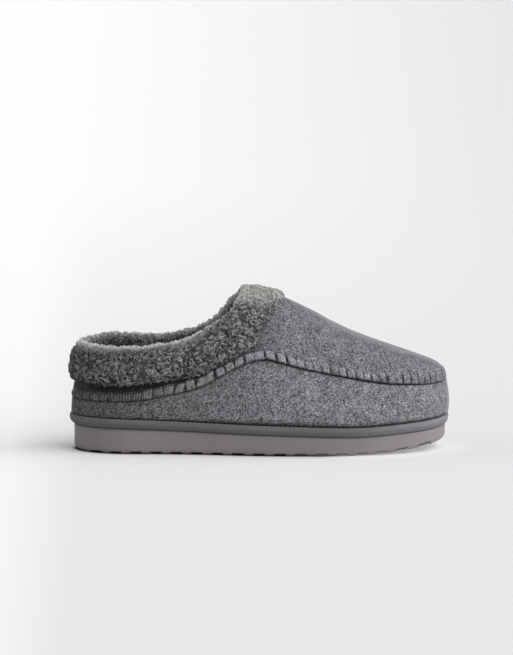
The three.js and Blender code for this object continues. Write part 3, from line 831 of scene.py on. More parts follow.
class SlipperSizes(bpy.types.PropertyGroup):
    stitch_pitch: a_length("Stitch pitch", "Distance between whip stitches along the seam", 0.0084)
    gather_width: a_length("Gather width", "Width of the dark gather between two stitches", 0.0006)
    thread_width: a_length("Thread width", "Thickness of the seam's binding thread", 0.0005)
    curl_radius: a_length("Curl radius", "Radius of one curl of the fleece", 0.0012)
    curl_length: a_length("Curl length", "Length of one curled lock of the fleece", 0.004)
    curl_rise: a_length("Curl rise", "How far a curl stands off the fleece's backing", 0.0015)
    lock_thickness: a_length("Lock thickness", "Thickness of one lock of the fleece", 0.0012)
    flap_curls: a_number("Flap curls", "Number of curls on the flap of the cuff", 3600)
    crest_curls: a_number("Crest curls", "Number of curls over the crest and the collar's lining", 3800)
    insole_curls: a_number("Insole curls", "Number of curls on the insole and the foot's lining", 2600)
    wrap_stitch: a_length("Wrap stitch", "Pitch of the stitches at the top of the platform", 0.0034)


class SlipperColours(bpy.types.PropertyGroup):
    felt_dark: a_colour("Felt, dark fibres", "Colour of the felt's dark fibres", 0.05, 0.05, 0.054)
    felt_light: a_colour("Felt, light fibres", "Colour of the felt's light fibres", 0.342, 0.342, 0.361)
    felt_hair: a_colour("Felt, loose hairs", "Colour of the pale hairs on the felt", 0.42, 0.42, 0.435)
    # The apron's tint is partly its own bluer felt and partly painted shade on its up-facing top
    apron: a_colour("Felt, apron", "Tint of the apron's felt beside that of the wall", 0.82, 0.845, 0.87)
    yarn: a_colour("Seam yarn", "Colour of the whip-stitched seam", 0.47, 0.47, 0.475)
    thread: a_colour("Binding thread", "Colour of the thread between the stitches", 0.06, 0.06, 0.064)
    # The dark roots of the fleece are partly painted shade in the valleys between its locks
    cuff_dark: a_colour("Cuff, roots", "Colour of the cuff's fleece at its roots", 0.03, 0.029, 0.0285)
    cuff_light: a_colour("Cuff, tips", "Colour of the cuff's fleece at its tips", 0.325, 0.322, 0.318)
    # The crest's colour is a painted highlight along the cuff's crest
    cuff_crest_highlight: a_colour("Cuff, crest", "Colour of the brushed fleece along the crest", 0.92, 0.895, 0.86)
    insole_dark: a_colour("Insole, roots", "Colour of the insole's fleece at its roots", 0.09, 0.086, 0.082)
    insole_light: a_colour("Insole, tips", "Colour of the insole's fleece at its tips", 0.52, 0.5, 0.48)
    wrap: a_colour("Wrap", "Colour of the platform's cloth wrap", 0.126, 0.124, 0.131)
    foam: a_colour("Foam", "Colour of the outsole's foam", 0.188, 0.174, 0.184)


class SlipperStage(bpy.types.PropertyGroup):
    floor: a_colour("Floor", "Colour of the floor near the slipper", 0.6, 0.585, 0.59)
    glow: a_number("Glow", "Light that the floor gives by itself, which softens shadows", 0.18)
    backdrop: a_colour("Backdrop", "Colour of the floor far behind the slipper", 0.765, 0.765, 0.765)
    fill: a_number("Fill", "Strength of the even light from all sides", 0.4)
    key: a_number("Key", "Strength of the light from beyond the toe", 3.9)
    top: a_number("Top", "Strength of the light from overhead", 0.35)
    rim: a_number("Rim", "Strength of the light from beyond the heel", 0.6)
    camera_distance: a_length("Camera distance", "Distance from the camera to the slipper", 10.0)
    camera_tilt: FloatProperty(
        name="Camera tilt", description="How far the camera looks down", default=math.radians(7.0),
        unit="ROTATION", subtype="ANGLE",
    )


# The felt
SEAM_GROOVE_DEPTH = 1.7
WALL_HEIGHT = 30.0
LEAST_COVER = 0.03


def crease_depth(points, lateral):
    """How deep the worn troughs press in at points of the felt, with a low ridge on each side of them."""
    depth = np.zeros(points.shape[:-1])
    for side, x, z, slant, half_length, half_width, deep in FELT_CREASES:
        angle = math.radians(slant)
        along = (points[..., 0] - x) * math.cos(angle) + (points[..., 2] - z) * math.sin(angle)
        across = (points[..., 2] - z) * math.cos(angle) - (points[..., 0] - x) * math.sin(angle)
        spread = (across / half_width) ** 2
        shape = (1 - 1.2 * spread) * np.exp(-spread) * np.exp(-((along / half_length) ** 2))
        depth += deep * shape * (lateral == (side == "lateral"))
    return depth


def felt_surface(turn, height):
    """The felt's outer face with its troughs, its slight unevenness and the groove under the seam."""
    point = felt_point(turn, height)
    normal = felt_normal(turn, height)
    lateral, _ = side_of(np.broadcast_to(turn, point.shape[:-1]))
    below = (1 - height) * WALL_HEIGHT
    groove = SEAM_GROOVE_DEPTH * np.exp(-(below ** 2)) * (height <= 1.0)
    uneven = 0.35 * noise(point, 22.0, 3) + 0.16 * noise(point, 8.0, 4)
    free = smoothstep(height, 0, 0.25)
    depth = crease_depth(point, lateral) * free + groove - uneven * free
    return point - normal * depth[..., None]


class BuildFelt(bpy.types.Operator):
    """Makes the felt shell of the upper"""
    bl_idname = "slipper.build_felt"
    bl_label = "Felt upper"

    columns = 504
    wall_rows = 30
    bare_rows = 40
    covered_rows = 8
    inner_rows = 18
    band_shares = (0.06, 0.2, 0.5, 0.8, 1)
    seam_line_width = 0.85
    foot_line_width = 1.5
    flap_shadow = (4.5, 8.0)

    def execute(self, context):
        colours = context.scene.slipper_colours
        turn = even_turns(self.columns)
        length = felt_length(turn)
        foot = np.minimum(cuff_foot(turn), 2 - LEAST_COVER)
        band_top = 1 + SEAM_BAND_WIDTH / length
        wall = 1 - (1 - np.linspace(0, 1, self.wall_rows)) ** 1.5
        heights = [np.full_like(turn, share) for share in wall]
        heights += [lerp(1, band_top, share) for share in self.band_shares]
        heights += [lerp(band_top, foot, share) for share in np.linspace(0, 1, self.bare_rows)[1:]]
        heights += [lerp(foot, 2, share) for share in np.linspace(0, 1, self.covered_rows)[1:]]
        heights = np.array(heights)
        outer = felt_surface(turn[None, :], heights)
        down = np.linspace(2, 0, self.inner_rows)[:, None] + np.zeros_like(turn)
        inner = felt_offset(turn[None, :], down, np.full_like(down, -FELT_WALL))
        x, y = beside_sole(turn, FEATHER_OVERHANG - FELT_WALL)
        inner[-1] = np.stack([x, y, platform_top(x) + CLEARANCE], -1)
        points = np.concatenate([outer, inner])
        _, share = side_of(turn)
        # Painted shade on the felt: a dark line under the seam's edge, a dark line at its foot on the
        # platform, and a shadow under the cuff's flap
        below_seam = ((heights - 1) * WALL_HEIGHT / self.seam_line_width) ** 2
        line = 1.25 * np.exp(-below_seam) * (heights <= 1.0)
        foot_shadow_line = 1.3 * np.exp(-((heights * WALL_HEIGHT / self.foot_line_width) ** 2))
        under_flap = smoothstep((heights - 1) * length, *self.flap_shadow)
        under_flap = under_flap * (1 - smoothstep(share, 0.36, 0.5))
        shadow = lerp(0.35, 0.85, smoothstep(share, 0.0, 0.13)) * under_flap
        dark = line * seam_line(outer, share) + foot_shadow_line + shadow
        inside = np.zeros_like(down)
        values = {
            "painted_shade": np.concatenate([np.clip(dark, 0, 1), inside]),
            "apron": np.concatenate([heights > 1.0, inside]),
        }
        material = kept_material("Heathered felt", felt_material, colours)
        faces = ring_faces(len(points), self.columns, closed=True)
        new_piece("felt_upper", points, faces, material, ["upper"], values)
        return {"FINISHED"}


# The whip-stitched seam
PUFF_BY_ROUND = [
    (0, 0.3), (0.09, 0.7), (0.2, 0.8), (0.35, 1), (0.53, 1), (0.6, 0.66), (0.7, 0.52), (0.84, 0.42),
    (0.93, 0.3), (1, 0.22),
]
PITCH_BY_ROUND = [(0, 1), (0.52, 1), (0.62, 0.76), (1, 0.76)]
# How dark the painted shadow under the seam's edge is, by the share of the way from heel to toe
LINE_BY_ROUND = [
    (0, 0.8), (0.2, 0.6), (0.28, 0.25), (0.45, 0.22), (0.5, 0.95), (0.85, 1.05), (0.92, 0.6),
    (0.96, 0.3), (1, 0.2),
]
BAND_FLOOR = 0.16
STITCH_LEAN = 3.6
STITCH_ROOT_DEPTH = 2.4
THREAD_SIDES = 6
puff_share = curve_through(PUFF_BY_ROUND)
pitch_share = curve_through(PITCH_BY_ROUND)
line_share = curve_through(LINE_BY_ROUND)


def stitch_places(sizes):
    """How many stitches the seam has, and the distance along it at a number of stitches from the heel."""
    fine = np.linspace(0, SEAM_LENGTHS[-1], 2401)
    _, share = side_of(seam_turn(fine))
    per_mm = 1 / (sizes.stitch_pitch * 1000 * pitch_share(share))
    numbers = np.concatenate([[0], np.cumsum(np.diff(fine) * (per_mm[1:] + per_mm[:-1]) / 2)])
    count = int(round(numbers[-1]))
    numbers *= count / numbers[-1]
    return count, lambda number: np.interp(np.mod(number, count), numbers, fine)


def seam_turn(distance):
    """The turn at a distance along the seam."""
    return np.interp(np.mod(distance, SEAM_LENGTHS[-1]), SEAM_LENGTHS, LENGTH_TURNS)


def seam_lean(distance):
    """How far the stitches step forward over the band, so that they stand square to the seam."""
    lateral, share = side_of(seam_turn(distance))
    return np.where(lateral, 1, -1) * STITCH_LEAN * smoothstep(share, 0.36, 0.5)


def seam_line(points, share):
    """How dark the painted shadow under the seam's edge is, patchy where the stitches are loose and faint
    at the toe.
    """
    return line_share(share) * (0.9 + 0.35 * noise(points, 3.5, 14))


class BuildSeam(bpy.types.Operator):
    """Makes the raised seam with its whip stitches and their binding thread"""
    bl_idname = "slipper.build_seam"
    bl_label = "Whip-stitched seam"

    samples = 20
    strands = 4
    rows = 22
    overlap = 0.07
    end_sink = 0.55
    thread_points = 12
    thread_from = 0.28
    thread_to = 0.58

    def execute(self, context):
        sizes, colours = context.scene.slipper_sizes, context.scene.slipper_colours
        count, distance_at = stitch_places(sizes)
        random = np.random.default_rng(21)
        vary = random.uniform(-1, 1, (5, count))
        columns = count * self.samples
        across = np.linspace(-self.overlap, 1 + self.overlap, self.rows)[:, None]
        index = np.arange(columns) // self.samples
        local = (np.arange(columns) % self.samples + 0.5) / self.samples - 0.5
        distance = distance_at(index + 0.5 + local)
        _, along = side_of(seam_turn(distance))
        loose = smoothstep(along, 0.18, 0.26) * (1 - smoothstep(along, 0.42, 0.5))
        lean = seam_lean(distance) * across + lerp(0.7, 2.6, loose) * (across - 0.5) * vary[0][index]
        turn = np.broadcast_to(seam_turn(distance + lean), (self.rows, columns))
        _, share = side_of(turn)
        amount = puff_share(share)
        half_gap = 0.5 * sizes.gather_width / (sizes.stitch_pitch * pitch_share(share))
        edge = 0.5 - half_gap * (1 + 0.35 * vary[1][index])
        off = np.abs(local + 0.09 * vary[4][index])
        puff = 1 - smoothstep(off, edge - 0.08, edge)
        crown = 1 - 0.45 * (off / 0.5) ** 2.5
        corner = 0.16 * (2 * off) ** 4
        stray = loose * (0.22 + 0.12 * vary[2][index])
        tall = lerp(0.42, 0.62, smoothstep(amount, 0.55, 0.95)) - corner + stray
        begun = smoothstep(across, corner - 0.04, corner + 0.14)
        ridge = begun * (1 - smoothstep(across, tall, tall + 0.24))
        ribbed = 1 - smoothstep(share, 0.2, 0.34)
        wander = 0.35 * noise(seam_point(seam_turn(distance)), 4.0, 12)
        rib = 0.5 + 0.5 * np.cos(2 * math.pi * ((index + local) * self.strands + wander))
        strands = lerp(0.16, 0.3, ribbed) * (2 * rib - 1)
        fullness = 1.1 + lerp(0.16, 0.4, loose) * vary[3][index]
        rise = SEAM_BAND_STEP * ridge * (BAND_FLOOR + amount * puff * crown * fullness)
        rise = rise + (strands + 0.1) * puff * ridge * amount
        ends = smoothstep(-across, 0.0, self.overlap) + smoothstep(across, 1.0, 1 + self.overlap)
        sink = self.end_sink * ends
        height = 1 + across * SEAM_BAND_WIDTH * (1 + 0.04 * vary[4][index]) / felt_length(turn)
        base = felt_point(turn, height)
        normal = felt_normal(turn, np.maximum(height, 1.002))
        uneven = 0.15 * noise(base, 5.0, 9)
        points = base + normal * (rise - sink + uneven * ridge)[..., None]
        felt = kept_material("Heathered felt", felt_material, colours)
        # Painted shade on the stitches: in the gathers between them, between their strands and the heel's
        # ribs, in the tangles of the loose ones, along their tops and in the line under the seam
        short = lerp(0.3 + 0.16 * vary[2][index], 1.2, smoothstep(amount, 0.62, 0.95))
        top_shadow_line = 0.55 * np.exp(-(((across - 0.88) / 0.07) ** 2)) * smoothstep(amount, 0.5, 1.0)
        pinch = lerp(0.68, 0.82, amount) + 0.2 * vary[3][index]
        gather = (1 - puff) * pinch * (1 - smoothstep(across, short, short + 0.14))
        gather = np.maximum(gather, 0.18 * (1 - rib) ** 2 * amount * (1 - ribbed))
        patch = 0.6 + 0.55 * noise(base, 4.5, 15)
        gather = lerp(gather, 1.1 * (1 - rib) ** 1.1 * patch, ribbed)
        tangle = smoothstep(noise(base, 1.5, 16), 0.15, 0.75) * ridge
        gather = np.maximum(gather, 0.62 * loose * tangle)
        dark = gather + top_shadow_line + 1.2 * seam_line(base, share) * (1 - smoothstep(across, -0.04, 0.04))
        raised = lerp(puff, 0.55, ribbed) * ridge * smoothstep(amount, 0.2, 0.9)
        back = base[[-1, 0]] - STITCH_ROOT_DEPTH * normal[[-1, 0]]
        edge_rows = np.ones((2, columns))
        values = {
            "puff": np.concatenate([np.clip(raised, 0, 1), 0 * edge_rows]),
            "painted_shade": np.concatenate([np.clip(dark, 0, 1), edge_rows]),
            "apron": np.full((self.rows + 2, columns), 0.5),
        }
        body = np.concatenate([points, back])
        faces = ring_faces(self.rows + 2, columns, closed=True)
        new_piece("whip_stitches", body, faces, felt, values=values)
        self.bind(sizes, colours, distance_at(np.arange(count)))
        return {"FINISHED"}

    def bind(self, sizes, colours, start):
        """The binding thread, which shows as one turn between each pair of stitches over part of the seam's
        length.
        """
        radius = sizes.thread_width * 500
        _, share = side_of(seam_turn(start))
        start = start[(share > self.thread_from) & (share < self.thread_to)][:, None]
        _, share = side_of(seam_turn(start))
        count = len(start)
        reach = lerp(0.2, 0.95, smoothstep(puff_share(share), 0.5, 0.9))
        across = lerp(-0.1, reach, np.linspace(0, 1, self.thread_points)[None, :])
        distance = start + seam_lean(start) * across
        turn = seam_turn(distance)
        height = 1 + across * SEAM_BAND_WIDTH / felt_length(turn)
        ridge = smoothstep(across, -0.04, 0.14) * (1 - smoothstep(across, 0.6, 0.86))
        buried = (across < 0) | (across > reach - 0.08)
        over = SEAM_BAND_STEP * ridge * BAND_FLOOR + radius * 0.9 - 1.2 * buried
        paths = felt_point(turn, height) + felt_normal(turn, np.maximum(height, 1.002)) * over[..., None]
        points = tubes(paths, np.full(paths.shape[:2], radius), THREAD_SIDES)
        faces = strip_faces(count, self.thread_points, THREAD_SIDES)
        material = kept_material("Binding thread", thread_material, colours.thread)
        new_piece("seam_thread", points, faces, material)


# The fleece
CURL_POINTS = 9
CURL_SIDES = 3
LEAST_RELIEF = 0.05
MOST_RELIEF = 1.2
LINING_GAP = 0.2
LINING_THICKNESS = 2.2


def cuff_row(turn, part, down, over):
    """A ring of the cuff's section."""
    _, share = side_of(turn)
    thickness = lerp(CUFF_THICKNESS, CUFF_INSTEP_THICKNESS, smoothstep(share, 0.55, 0.9))
    if part == "flap":
        return felt_offset(turn, lerp(2, cuff_foot(turn), down), np.maximum(CLEARANCE, over * thickness))
    if part == "lining":
        height = 2 - down * CUFF_LINING_DEPTH / felt_length(turn)
        return felt_offset(turn, height, -FELT_WALL - np.maximum(CLEARANCE, over * CUFF_LINING))
    edge = felt_point(turn, 2.0)
    up = unit(edge - felt_point(turn, 1.99))
    outside = over * thickness if over > 0 else np.full_like(turn, over * (CUFF_LINING + FELT_WALL))
    return felt_offset(turn, 2.0, outside) + up * down * CUFF_CREST


def smooth_rows(rows, samples):
    """A smooth surface through rings of points, as more rings."""
    rows = np.array(rows)
    count = len(rows)
    padded = np.concatenate([rows[:1] * 2 - rows[1:2], rows, rows[-1:] * 2 - rows[-2:-1]])
    place = np.linspace(0, count - 1 - 1e-9, samples)
    i = np.floor(place).astype(int)
    t = (place - i)[:, None, None]
    a, b, c, d = (padded[i + k] for k in range(4))
    bend = 2 * a - 5 * b + 4 * c - d
    twist = 3 * b - a - 3 * c + d
    return 0.5 * (2 * b + (c - a) * t + bend * t ** 2 + twist * t ** 3)


def locks(points, seed):
    """Height of the fleece's locks: rounded clumps a few millimetres across with sharp valleys."""
    warp = 0.9 * np.stack([noise(points, 3.2, seed + k) for k in (1, 2, 3)], -1)
    coarse = noise(points + warp, 2.8, seed + 4)
    fine = noise(points - warp, 1.6, seed + 5)
    return 1 - 1.7 * np.abs(coarse) ** 0.8 + 0.5 * fine


def curls(surface, normals, weights, scales, count, sizes, seed):
    """Curled locks that lie in arches on a grid of points: their points, their tones and their roots."""
    random = np.random.default_rng(seed)
    rows, columns = weights.shape
    edges = np.cross(np.roll(surface, -1, 1) - surface, np.gradient(surface, axis=0))
    area = np.linalg.norm(edges, axis=-1) * weights
    chosen = random.choice(rows * columns, count, p=(area / area.sum()).ravel())
    row, column = np.divmod(chosen, columns)
    after = (column + 1) % columns
    above = np.clip(row + 1, 0, rows - 1)
    u, v = random.random((2, count, 1))
    root = (surface[row, column] * (1 - u) * (1 - v) + surface[row, after] * u * (1 - v)
            + surface[above, column] * (1 - u) * v + surface[above, after] * u * v)
    normal = unit(normals[row, column] + random.normal(0, 0.25, (count, 3)))
    helper = unit(np.cross(normal, random.normal(0, 1, (count, 3))))[:, None]
    other = np.cross(normal[:, None], helper)
    t = np.linspace(0, 1, CURL_POINTS)[None, :, None]
    scale = np.broadcast_to(scales, weights.shape)[row, column][:, None, None]
    length = sizes.curl_length * 1000 * scale * random.uniform(0.6, 1.35, (count, 1, 1))
    bend = random.choice((-1, 1), (count, 1, 1)) * random.uniform(0.3, 0.85, (count, 1, 1))
    bend = bend / (sizes.curl_radius * 1000 * scale)
    angle = bend * length * (t - 0.5)
    arch = np.sin(math.pi * t) ** 0.75
    rise = sizes.curl_rise * 1000 * scale * random.uniform(0.55, 1.25, (count, 1, 1))
    paths = (root[:, None] + helper * np.sin(angle) / bend + other * (1 - np.cos(angle)) / bend
             + normal[:, None] * (rise * arch - 0.35))
    width = sizes.lock_thickness * 500 * scale[..., 0] * random.uniform(0.7, 1.25, (count, 1))
    thickness = width * (0.45 + 0.55 * arch[..., 0])
    # The curls are darker in the valleys between the locks, partly painted shade, and vary at random
    hill = smoothstep(locks(paths, seed), -0.05, 1.0)
    tone = 0.62 * hill + 0.38 * random.random((count, 1)) * arch[..., 0] - 0.03
    tone = np.clip(tone, 0, 1) ** 0.62
    return tubes(paths, thickness, CURL_SIDES), np.repeat(tone[..., None], CURL_SIDES, 2), chosen


class BuildCuff(bpy.types.Operator):
    """Makes the turned-down fleece cuff with its curls"""
    bl_idname = "slipper.build_cuff"
    bl_label = "Fleece cuff"

    columns = 460
    rows = 64
    bed_depth = 2.2
    brushed_and_lit_from = 16.5
    brushed_and_lit_to = 8.5
    flap_end = 5.2
    crest_place = 6.4

    def execute(self, context):
        sizes, colours = context.scene.slipper_sizes, context.scene.slipper_colours
        turn = even_turns(self.columns)
        rings = [cuff_row(turn, part, down, over) for part, down, over, _ in CUFF_SECTION]
        smooth = even_rings(smooth_rows(rings, self.rows), 4)
        place = np.linspace(0, len(rings) - 1, self.rows)[:, None]
        curly = np.interp(place, np.arange(len(rings)), [row[3] for row in CUFF_SECTION])
        normals = grid_normals(smooth)
        peak = smooth[..., 2].max()
        # The top of the throat, where the fleece is brushed flatter and finer and also takes a painted
        # highlight
        ragged = smooth[..., 2] + 2.4 * noise(smooth, 4.5, 31)
        brushed_and_lit = smoothstep(ragged, peak - self.brushed_and_lit_from, peak - self.brushed_and_lit_to)
        relief = locks(smooth, 40)
        swell = 0.6 * noise(smooth, 12.0, 50) * (1 - brushed_and_lit)
        _, share = side_of(turn)
        thin = smoothstep(share, 0.55, 0.8)
        swell = swell - thin * 0.9 * np.exp(-((place - 3.6) / 1.4) ** 2)
        swell = swell + 1.3 * smoothstep(share, 0.78, 0.95) * np.exp(-((place - 1.8) / 1.0) ** 2)
        tall = lerp(1.1, 0.5, brushed_and_lit)
        out = (tall * relief - self.bed_depth + swell + 0.2 * brushed_and_lit) * curly
        skin = smooth + normals * out[..., None]
        shades = colours.cuff_dark, colours.cuff_light, colours.cuff_crest_highlight
        material = kept_material("Cuff fleece", fleece_material, *shades, 1.1)
        backs = ("lining", 0.5), ("flap", 0.0), ("flap", 0.5)
        back = np.array([cuff_row(turn, part, down, 0.0) for part, down in backs])
        body = np.concatenate([skin, back])
        # How much painted highlight lies along the crest and over the brushed top
        off_crest = place - self.crest_place
        below = lerp(0.9, 0.6, smoothstep(share, 0.06, 0.22))
        line = np.exp(-((off_crest / np.where(off_crest < 0, below, 1.0)) ** 2))
        crest = np.maximum(line, 0.52 * brushed_and_lit)
        # Painted light on the tips: a highlight along the crest, and a lift at the flap's front edge
        # against its shade
        edge = np.exp(-((place / 1.3) ** 2)) * smoothstep(share, 0.42, 0.6)
        hill = np.clip(relief, 0, 1)
        tip = 0.38 * hill ** 0.7 + 0.7 * hill * crest + 0.35 * edge
        crest_highlight = crest * lerp(0.74, 0.9, smoothstep(share, 0.34, 0.48))
        hidden = np.zeros(back.shape[:2])
        values = {"tip": np.concatenate([tip, hidden]), "crest": np.concatenate([crest_highlight, hidden])}
        faces = ring_faces(len(body), self.columns, closed=True)
        new_piece("cuff_fleece", body, faces, material, ["collar_cuff"], values)
        split = int(self.rows * self.flap_end / (len(rings) - 1))
        part = np.arange(self.rows)[:, None]
        hills = np.clip(relief, LEAST_RELIEF, MOST_RELIEF) * curly
        fine = lerp(1, 0.58, brushed_and_lit)
        for name, mask, count, seed, scale in (
            ("cuff_flap_curls", part < split, sizes.flap_curls, 61, fine),
            ("cuff_crest_curls", part >= split, sizes.crest_curls, 62, 0.7 * fine),
        ):
            dense = 1 + 1.5 * brushed_and_lit + 0.8 * crest
            points, tone, chosen = curls(skin, normals, hills * mask * dense, scale, count, sizes, seed)
            crest_highlight_of = np.broadcast_to(crest.ravel()[chosen][:, None, None], tone.shape)
            # Painted shade: the curls darken toward the foot of the flap
            foot = 0.55 + 0.45 * smoothstep(place, 0.8, 2.6)
            tone = tone * np.broadcast_to(foot, crest.shape).ravel()[chosen][:, None, None]
            faces = strip_faces(count, CURL_POINTS, CURL_SIDES)
            values = {"tip": tone, "crest": crest_highlight_of}
            new_piece(name, points, faces, material, values=values)
        return {"FINISHED"}


class BuildInsole(bpy.types.Operator):
    """Makes the fleece insole and the lining of the foot"""
    bl_idname = "slipper.build_insole"
    bl_label = "Insole and lining"

    columns = 360
    lining_rows = 30
    curl_scale = 0.9

    def execute(self, context):
        sizes, colours = context.scene.slipper_sizes, context.scene.slipper_colours
        turn = even_turns(self.columns)
        rim = INSOLE_DISH * 1.5

        def ring(inset, rise):
            x, y = beside_sole(turn, FEATHER_OVERHANG - FELT_WALL - CLEARANCE - inset)
            return np.stack([x, y, platform_top(x) + CLEARANCE + rise], -1)
        thick = INSOLE_THICKNESS
        section = (
            (0, 0), (0, (thick - rim) / 2), (0, thick - rim), (rim / 3, thick - rim / 3),
            (rim, thick), (3 * rim, thick - INSOLE_DISH / 2), (6 * rim, thick - INSOLE_DISH),
        )
        rings = close_rings([ring(inset, rise) for inset, rise in section], 16)
        under = close_rings([ring(0, 0)], 1)[1:]
        stack = np.array(under + rings)
        curly = smoothstep(np.arange(len(stack)), 3, 6)[:, None] * np.ones(self.columns)
        relief = locks(stack, 80)
        up = np.zeros_like(stack) + (0, 0, 1)
        shown = stack + up * ((0.5 * relief - 0.6) * curly)[..., None]
        shades = colours.insole_dark, colours.insole_light, colours.cuff_crest_highlight
        material = kept_material("Insole fleece", fleece_material, *shades, 1.2)
        # Darker in the valleys between the locks, partly painted shade
        tip = 0.1 + 0.4 * np.clip(relief, 0, 1)
        faces = ring_faces(len(shown), self.columns)
        pad = new_piece("insole_fleece", shown, faces, material, ["insole"], {"tip": tip})
        weights = np.clip(relief, LEAST_RELIEF, MOST_RELIEF) * curly
        weights[-1] = 0
        half = sizes.insole_curls // 2
        points, tone, _ = curls(shown, up, weights, self.curl_scale, half, sizes, 83)
        faces = strip_faces(half, CURL_POINTS, CURL_SIDES)
        new_piece("insole_curls", points, faces, material, values={"tip": tone})
        self.line(turn, sizes, material, sizes.insole_curls - half)
        return {"FINISHED"}

    def line(self, turn, sizes, material, count):
        """The fleece that lines the felt between the cuff and the insole."""
        start = 2 - 0.9 * CUFF_LINING_DEPTH / felt_length(turn)
        shares = np.linspace(0, 1, self.lining_rows)[:, None]
        heights = lerp(start, 0.1, shares)
        outer = np.full_like(heights, -FELT_WALL - LINING_GAP)
        smooth = felt_offset(turn[None, :], heights, outer - LINING_THICKNESS)
        normals = grid_normals(smooth)
        relief = locks(smooth, 90)
        skin = smooth + normals * (0.5 * relief - 0.4)[..., None]
        back = felt_offset(turn[None, :], heights[::-1], outer)
        body = np.concatenate([skin, back])
        # Darker in the valleys between the locks, partly painted shade
        tip = np.concatenate([0.1 + 0.4 * np.clip(relief, 0, 1), np.zeros_like(heights)])
        faces = ring_faces(len(body), len(turn), closed=True)
        new_piece("fleece_lining", body, faces, material, values={"tip": tip})
        weights = np.clip(relief, LEAST_RELIEF, MOST_RELIEF) * smoothstep(-shares, -0.75, -0.5)
        points, tone, _ = curls(skin, normals, weights, self.curl_scale, count, sizes, 93)
        faces = strip_faces(count, CURL_POINTS, CURL_SIDES)
        new_piece("lining_curls", points, faces, material, values={"tip": tone})


# The sole
class BuildPlatform(bpy.types.Operator):
    """Makes the wrapped platform and the stitches along its top"""
    bl_idname = "slipper.build_platform"
    bl_label = "Wrapped platform"

    columns = 600
    rows = 16
    stitch_up = 0.93
    stitch_radius = 0.32
    stitch_points = 6
    stitch_sides = 5

    def execute(self, context):
        sizes, colours = context.scene.slipper_sizes, context.scene.slipper_colours
        turn = even_turns(self.columns)
        rings = [self.ring(turn, up, 0) for up in np.linspace(0, 1, self.rows)]
        stack = np.array(close_rings(close_rings(rings[::-1], 2)[::-1], 2))
        # Painted shade on the wrap: dark where it meets the foam, along its top under the felt, and lightly
        # over its lower half
        edge = np.zeros(stack.shape[:2])
        edge[[1, 2, 3]] = [[0.9], [0.9], [0.4]]
        edge[4:10] = 0.16
        edge[-4:-2] = [[0.25], [0.6]]
        material = kept_material("Woven wrap", wrap_material, colours)
        faces = ring_faces(len(stack), self.columns)
        new_piece("platform_wrap", stack, faces, material, ["midsole"], {"painted_shade": edge})
        self.stitch(sizes, colours)
        return {"FINISHED"}

    def ring(self, turn, up, proud):
        """A ring of the platform's side at a share of its height, set out from it by a distance."""
        _, share = side_of(turn)
        overhang = PLATFORM_OVERHANG * lerp(1, PLATFORM_TOE_SHARE, share)
        x, y = beside_sole(turn, overhang * platform_out(up) + proud)
        z = outsole_top(x) + CLEARANCE + PLATFORM_THICKNESS * up
        return np.stack([x, y, z], -1)

    def stitch(self, sizes, colours):
        pitch = sizes.wrap_stitch * 1000
        fine = np.linspace(0, 2, 1441)
        line = self.ring(fine, self.stitch_up, 0)
        lengths = np.concatenate([[0], np.cumsum(np.linalg.norm(np.diff(line, axis=0), axis=1))])
        count = int(lengths[-1] / pitch)
        t = np.linspace(0, 1, self.stitch_points)[None, :]
        distance = (np.arange(count)[:, None] + 0.12 + 0.62 * t) * lengths[-1] / count
        turn = np.interp(distance, lengths, fine)
        proud = 0.5 * np.sin(math.pi * t) - 0.25 + np.zeros_like(turn)
        paths = self.ring(turn, self.stitch_up, proud)
        points = tubes(paths, np.full(paths.shape[:2], self.stitch_radius), self.stitch_sides)
        faces = strip_faces(count, self.stitch_points, self.stitch_sides)
        material = kept_material("Wrap thread", thread_material, shade(colours.wrap, 1.7))
        new_piece("wrap_stitches", points, faces, material)


